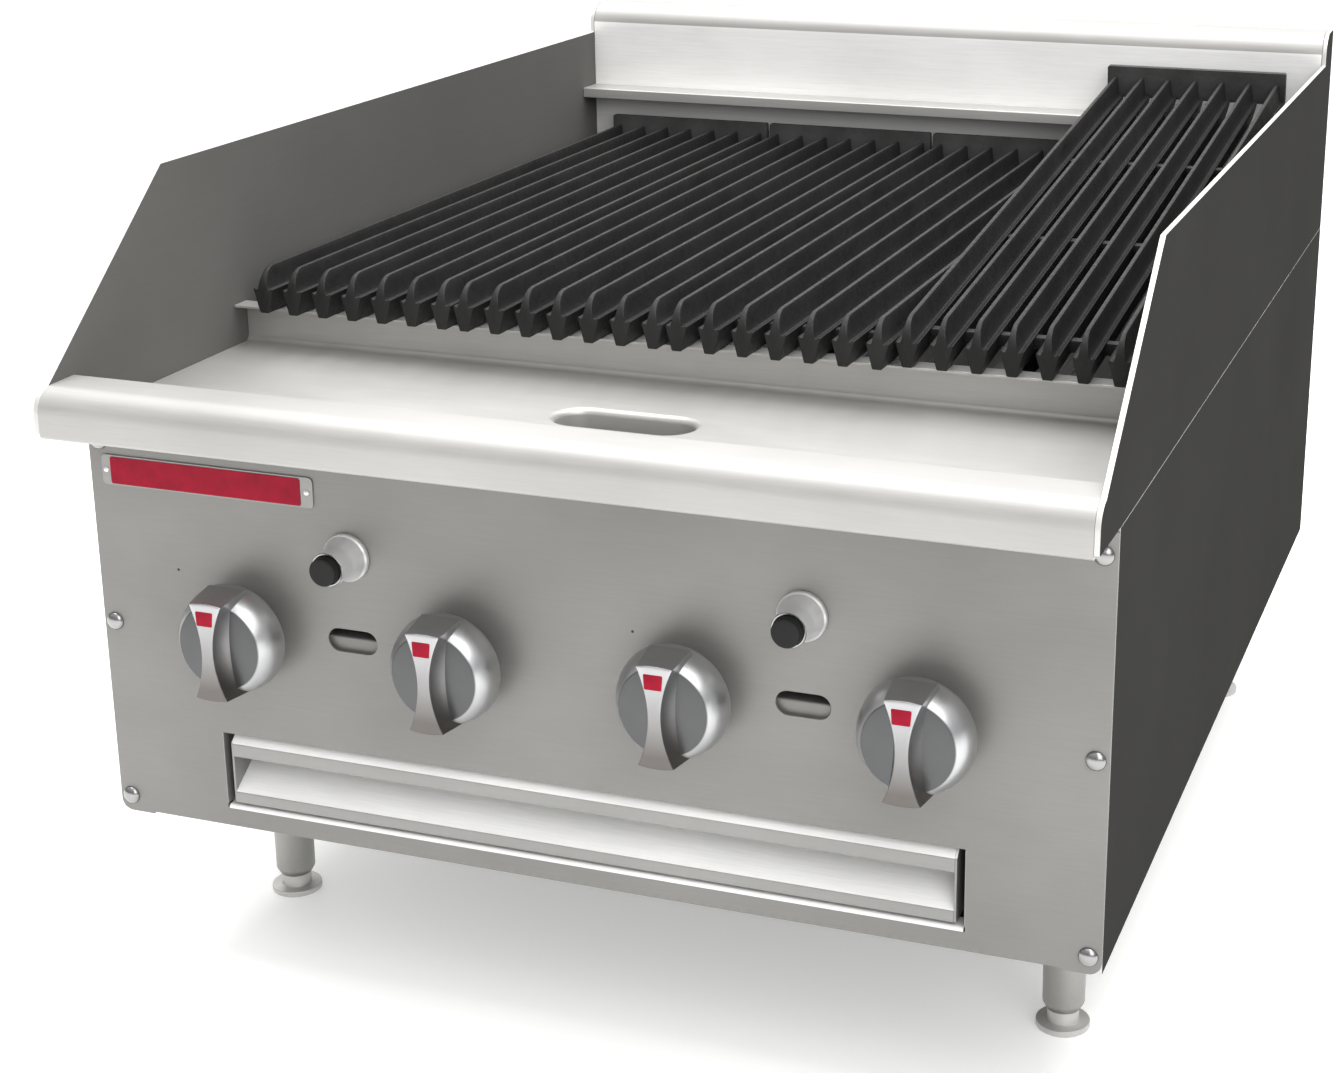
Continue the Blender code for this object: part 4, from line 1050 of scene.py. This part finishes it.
def legs():
    """Tube sleeves with collars, and the feet that screw up into them."""
    low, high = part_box("leg_1")
    bore, collar, start, end = 0.0099, 0.0170, high.z, low.z
    sleeve = [
        (bore, start), (collar, start), (collar, start - 0.003), (0.0130, start - 0.0032),
        (0.0126, end + 0.0048), (0.0124, end + 0.0038), (0.0106, end + 0.0005), (0.0103, end), (bore, end),
    ]
    sleeve_mesh = mesh_of("leg_sleeve", lathe(sleeve, 64, closed=True), "tube")
    screw, top = 0.0095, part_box("foot_1")[1].z
    foot = [
        (0.0, top), (screw, top), (screw, 0.0052), (0.0097, 0.0046), (0.0102, 0.0043), (0.0154, 0.0042),
        (0.0160, 0.0040), (0.0162, 0.0035), (0.0162, 0.0009), (0.0159, 0.0003), (0.0152, 0.0), (0.0, 0.0),
    ]
    # Painted light: the feet take a lighter tone of the sleeves' satin steel.
    foot_mesh = mesh_of("foot_screw", lathe(foot, 64), "foot")
    for number in FOUR:
        centre = middle(f"leg_{number}")
        matrix = Matrix.Translation((centre.x, centre.y, 0))
        leg, foot = f"leg_{number}", f"foot_{number}"
        finished(f"{leg}_sleeve", sleeve_mesh, HOUSING, [leg], matrix=matrix)
        finished(f"{foot}_disc", foot_mesh, f"{foot}_screw", [foot], matrix=matrix)


# ---- under the grates

def radiants():
    """Folded heat plates with staggered rows of slots down both slopes."""
    low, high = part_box("radiant_1")
    fold, foot_end, overlap, thick, slots, rows = 0.048, 0.058, 0.0005, 0.002, 14, (0.014, 0.030)
    length, rise = high.y - low.y, high.z - low.z - 0.0025
    slope, angle = sqrt(fold ** 2 + rise ** 2), atan2(rise, fold)
    holes = []
    for row, across in enumerate(rows):
        for number in range(slots - row):
            centre = ((number + 0.5 + row * 0.5) * length / slots, across)
            holes.append((obround(centre, 0.020, 0.005, 5), cut_edge(thick)))
    outline = rectangle(0.0, length, 0.0, slope)
    for number in FOUR:
        node = f"radiant_{number}"
        centre, start = middle(node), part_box(node)[0]
        shape = bmesh.new()
        for side in (-1, 1):
            def to_world(u, v, w):
                across = fold - v * cos(angle) + w * sin(angle)
                return (centre.x + side * across, start.y + u, start.z + v * sin(angle) + w * cos(angle))

            add_shape(shape, sheet(outline, holes, thick, to_world))
            left, right = sorted((centre.x + side * (fold - overlap), centre.x + side * foot_end))
            foot = rounded_box((left, start.y, start.z), (right, start.y + length, start.z + thick), 0.0003)
            add_shape(shape, foot)
        piece(f"{node}_plate", shape, "mill", HOUSING, [node])


def burners():
    """Tube burners with an open mixer end and two rows of raised ports."""
    low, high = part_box("burner_1")
    length, radius, bore = high.y - low.y, 0.016, 0.014
    ports, first_port, last_port, tilt = 44, 0.075, 0.020, 32
    tube = [
        (0.0, length), (radius - 0.002, length), (radius, length - 0.002), (radius, 0.045),
        (0.0138, 0.036), (0.0126, 0.028), (0.0128, 0.014), (0.0145, 0.0012), (0.0143, 0.0), (0.0127, 0.0),
        (0.0112, 0.014), (0.0108, 0.028), (0.0122, 0.037), (bore, 0.047), (bore, length - 0.003),
        (0.0, length - 0.003),
    ]
    port = [(0.0007, 0.0162), (0.0013, 0.0166), (0.0019, 0.0160), (0.0021, 0.0150), (0.0007, 0.0150)]
    shape = moved(lathe(tube, 40), Matrix.Rotation(-pi / 2, 4, "X"))
    for side in (-1, 1):
        lean = Matrix.Rotation(side * radians(tilt), 4, "Y")
        for number in range(ports):
            reach = first_port + number * (length - first_port - last_port) / (ports - 1)
            add_shape(shape, moved(lathe(port, 8, closed=True), Matrix.Translation((0, reach, 0)) @ lean))
    mesh = mesh_of("burner_tube", shape, "burner_iron")
    for number in FOUR:
        node = f"burner_{number}"
        centre = middle(node)
        matrix = Matrix.Translation((centre.x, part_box(node)[0].y, centre.z))
        finished(f"{node}_tube", mesh, HOUSING, [node], matrix=matrix)


def carried_nodes():
    """CAD nodes whose shape is already right: they only get a material."""
    plan = {"rear_panel": "mill", "base_pan": "mill", "gas_manifold": "pipe", "supply_pipe": "pipe"}
    valves = [f"{name}_{number}" for name in ("valve", "valve_stem") for number in FOUR]
    plan.update({name: "brass" for name in ["gas_inlet"] + valves})
    for name, look in plan.items():
        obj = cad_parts[name]
        obj.data.materials.clear()
        obj.data.materials.append(LOOKS[look])


# ---- the picture

def floor():
    """A pale floor that glows a little, so that it stays as light far away."""
    mesh = bpy.data.meshes.new("floor")
    shape = bmesh.new()
    bmesh.ops.create_grid(shape, x_segments=1, y_segments=1, size=80.0)
    shape.to_mesh(mesh)
    shape.free()
    obj = placed("floor", mesh)
    made, tree, shader = node_material("floor_pale", (0.86, 0.86, 0.855), 0.0, 0.8, 0.1)
    broad = noise(tree, (2, 2, 2), 2.0)
    base = ramp(tree, broad, (0.85, 0.85, 0.845), (0.87, 0.87, 0.865))
    tree.links.new(base, shader.inputs["Base Color"])
    shader.inputs["Emission Color"].default_value = (1.0, 1.0, 0.99, 1)
    shader.inputs["Emission Strength"].default_value = 0.3
    mesh.materials.append(made)


def area_light(name, place, size, power):
    """A rectangular soft light that faces the middle of the object."""
    data = bpy.data.lights.new(name, "AREA")
    data.shape = "RECTANGLE"
    data.size, data.size_y = size
    data.energy = power
    obj = placed(name, data)
    obj.location = place
    aim = Vector((0, 0, 0.3)) - Vector(place)
    obj.rotation_euler = aim.to_track_quat("-Z", "Y").to_euler()


def lights():
    """Four soft lights, under a sky that is darker towards the horizon."""
    world = bpy.data.worlds.new("studio")
    world.use_nodes = True
    tree = world.node_tree
    where = tree.nodes.new("ShaderNodeTexCoord")
    tone = ramp(tree, one_axis(tree, where.outputs["Generated"], "Z"), 0.30, 1.0, 0.05, 0.85)
    tree.links.new(tone, tree.nodes["Background"].inputs["Color"])
    bpy.context.scene.world = world
    area_light("back_panel", (-1.6, 4.2, 2.9), (7.0, 3.6), 90)
    area_light("key_front", (2.2, -2.4, 3.2), (3.0, 2.5), 54)
    area_light("low_front", (2.6, -3.8, 1.9), (3.0, 1.8), 42)
    area_light("top_soft", (0.0, 0.2, 3.2), (3.5, 3.0), 140)
    bpy.context.scene.view_settings.view_transform = "Standard"


def camera():
    """The photo's viewing angle and framing."""
    data = bpy.data.cameras.new("camera")
    data.sensor_width, data.lens = 36.0, 63.19
    data.shift_x, data.shift_y = -0.1013, -0.0693
    obj = placed("camera", data)
    obj.location = (0.5224, -1.4552, 0.7491)
    obj.rotation_euler = (radians(72.61), 0.0, radians(19.22))
    bpy.context.scene.camera = obj


camera()
lights()
floor()
control_panel()
slot_baffles()
nose_rail()
deck()
ledges_and_rails()
back_guard()
splash_guards()
side_panels()
grates()
knobs()
igniters()
screws()
badge()
panel_rivets()
drawer()
legs()
radiants()
burners()
carried_nodes()
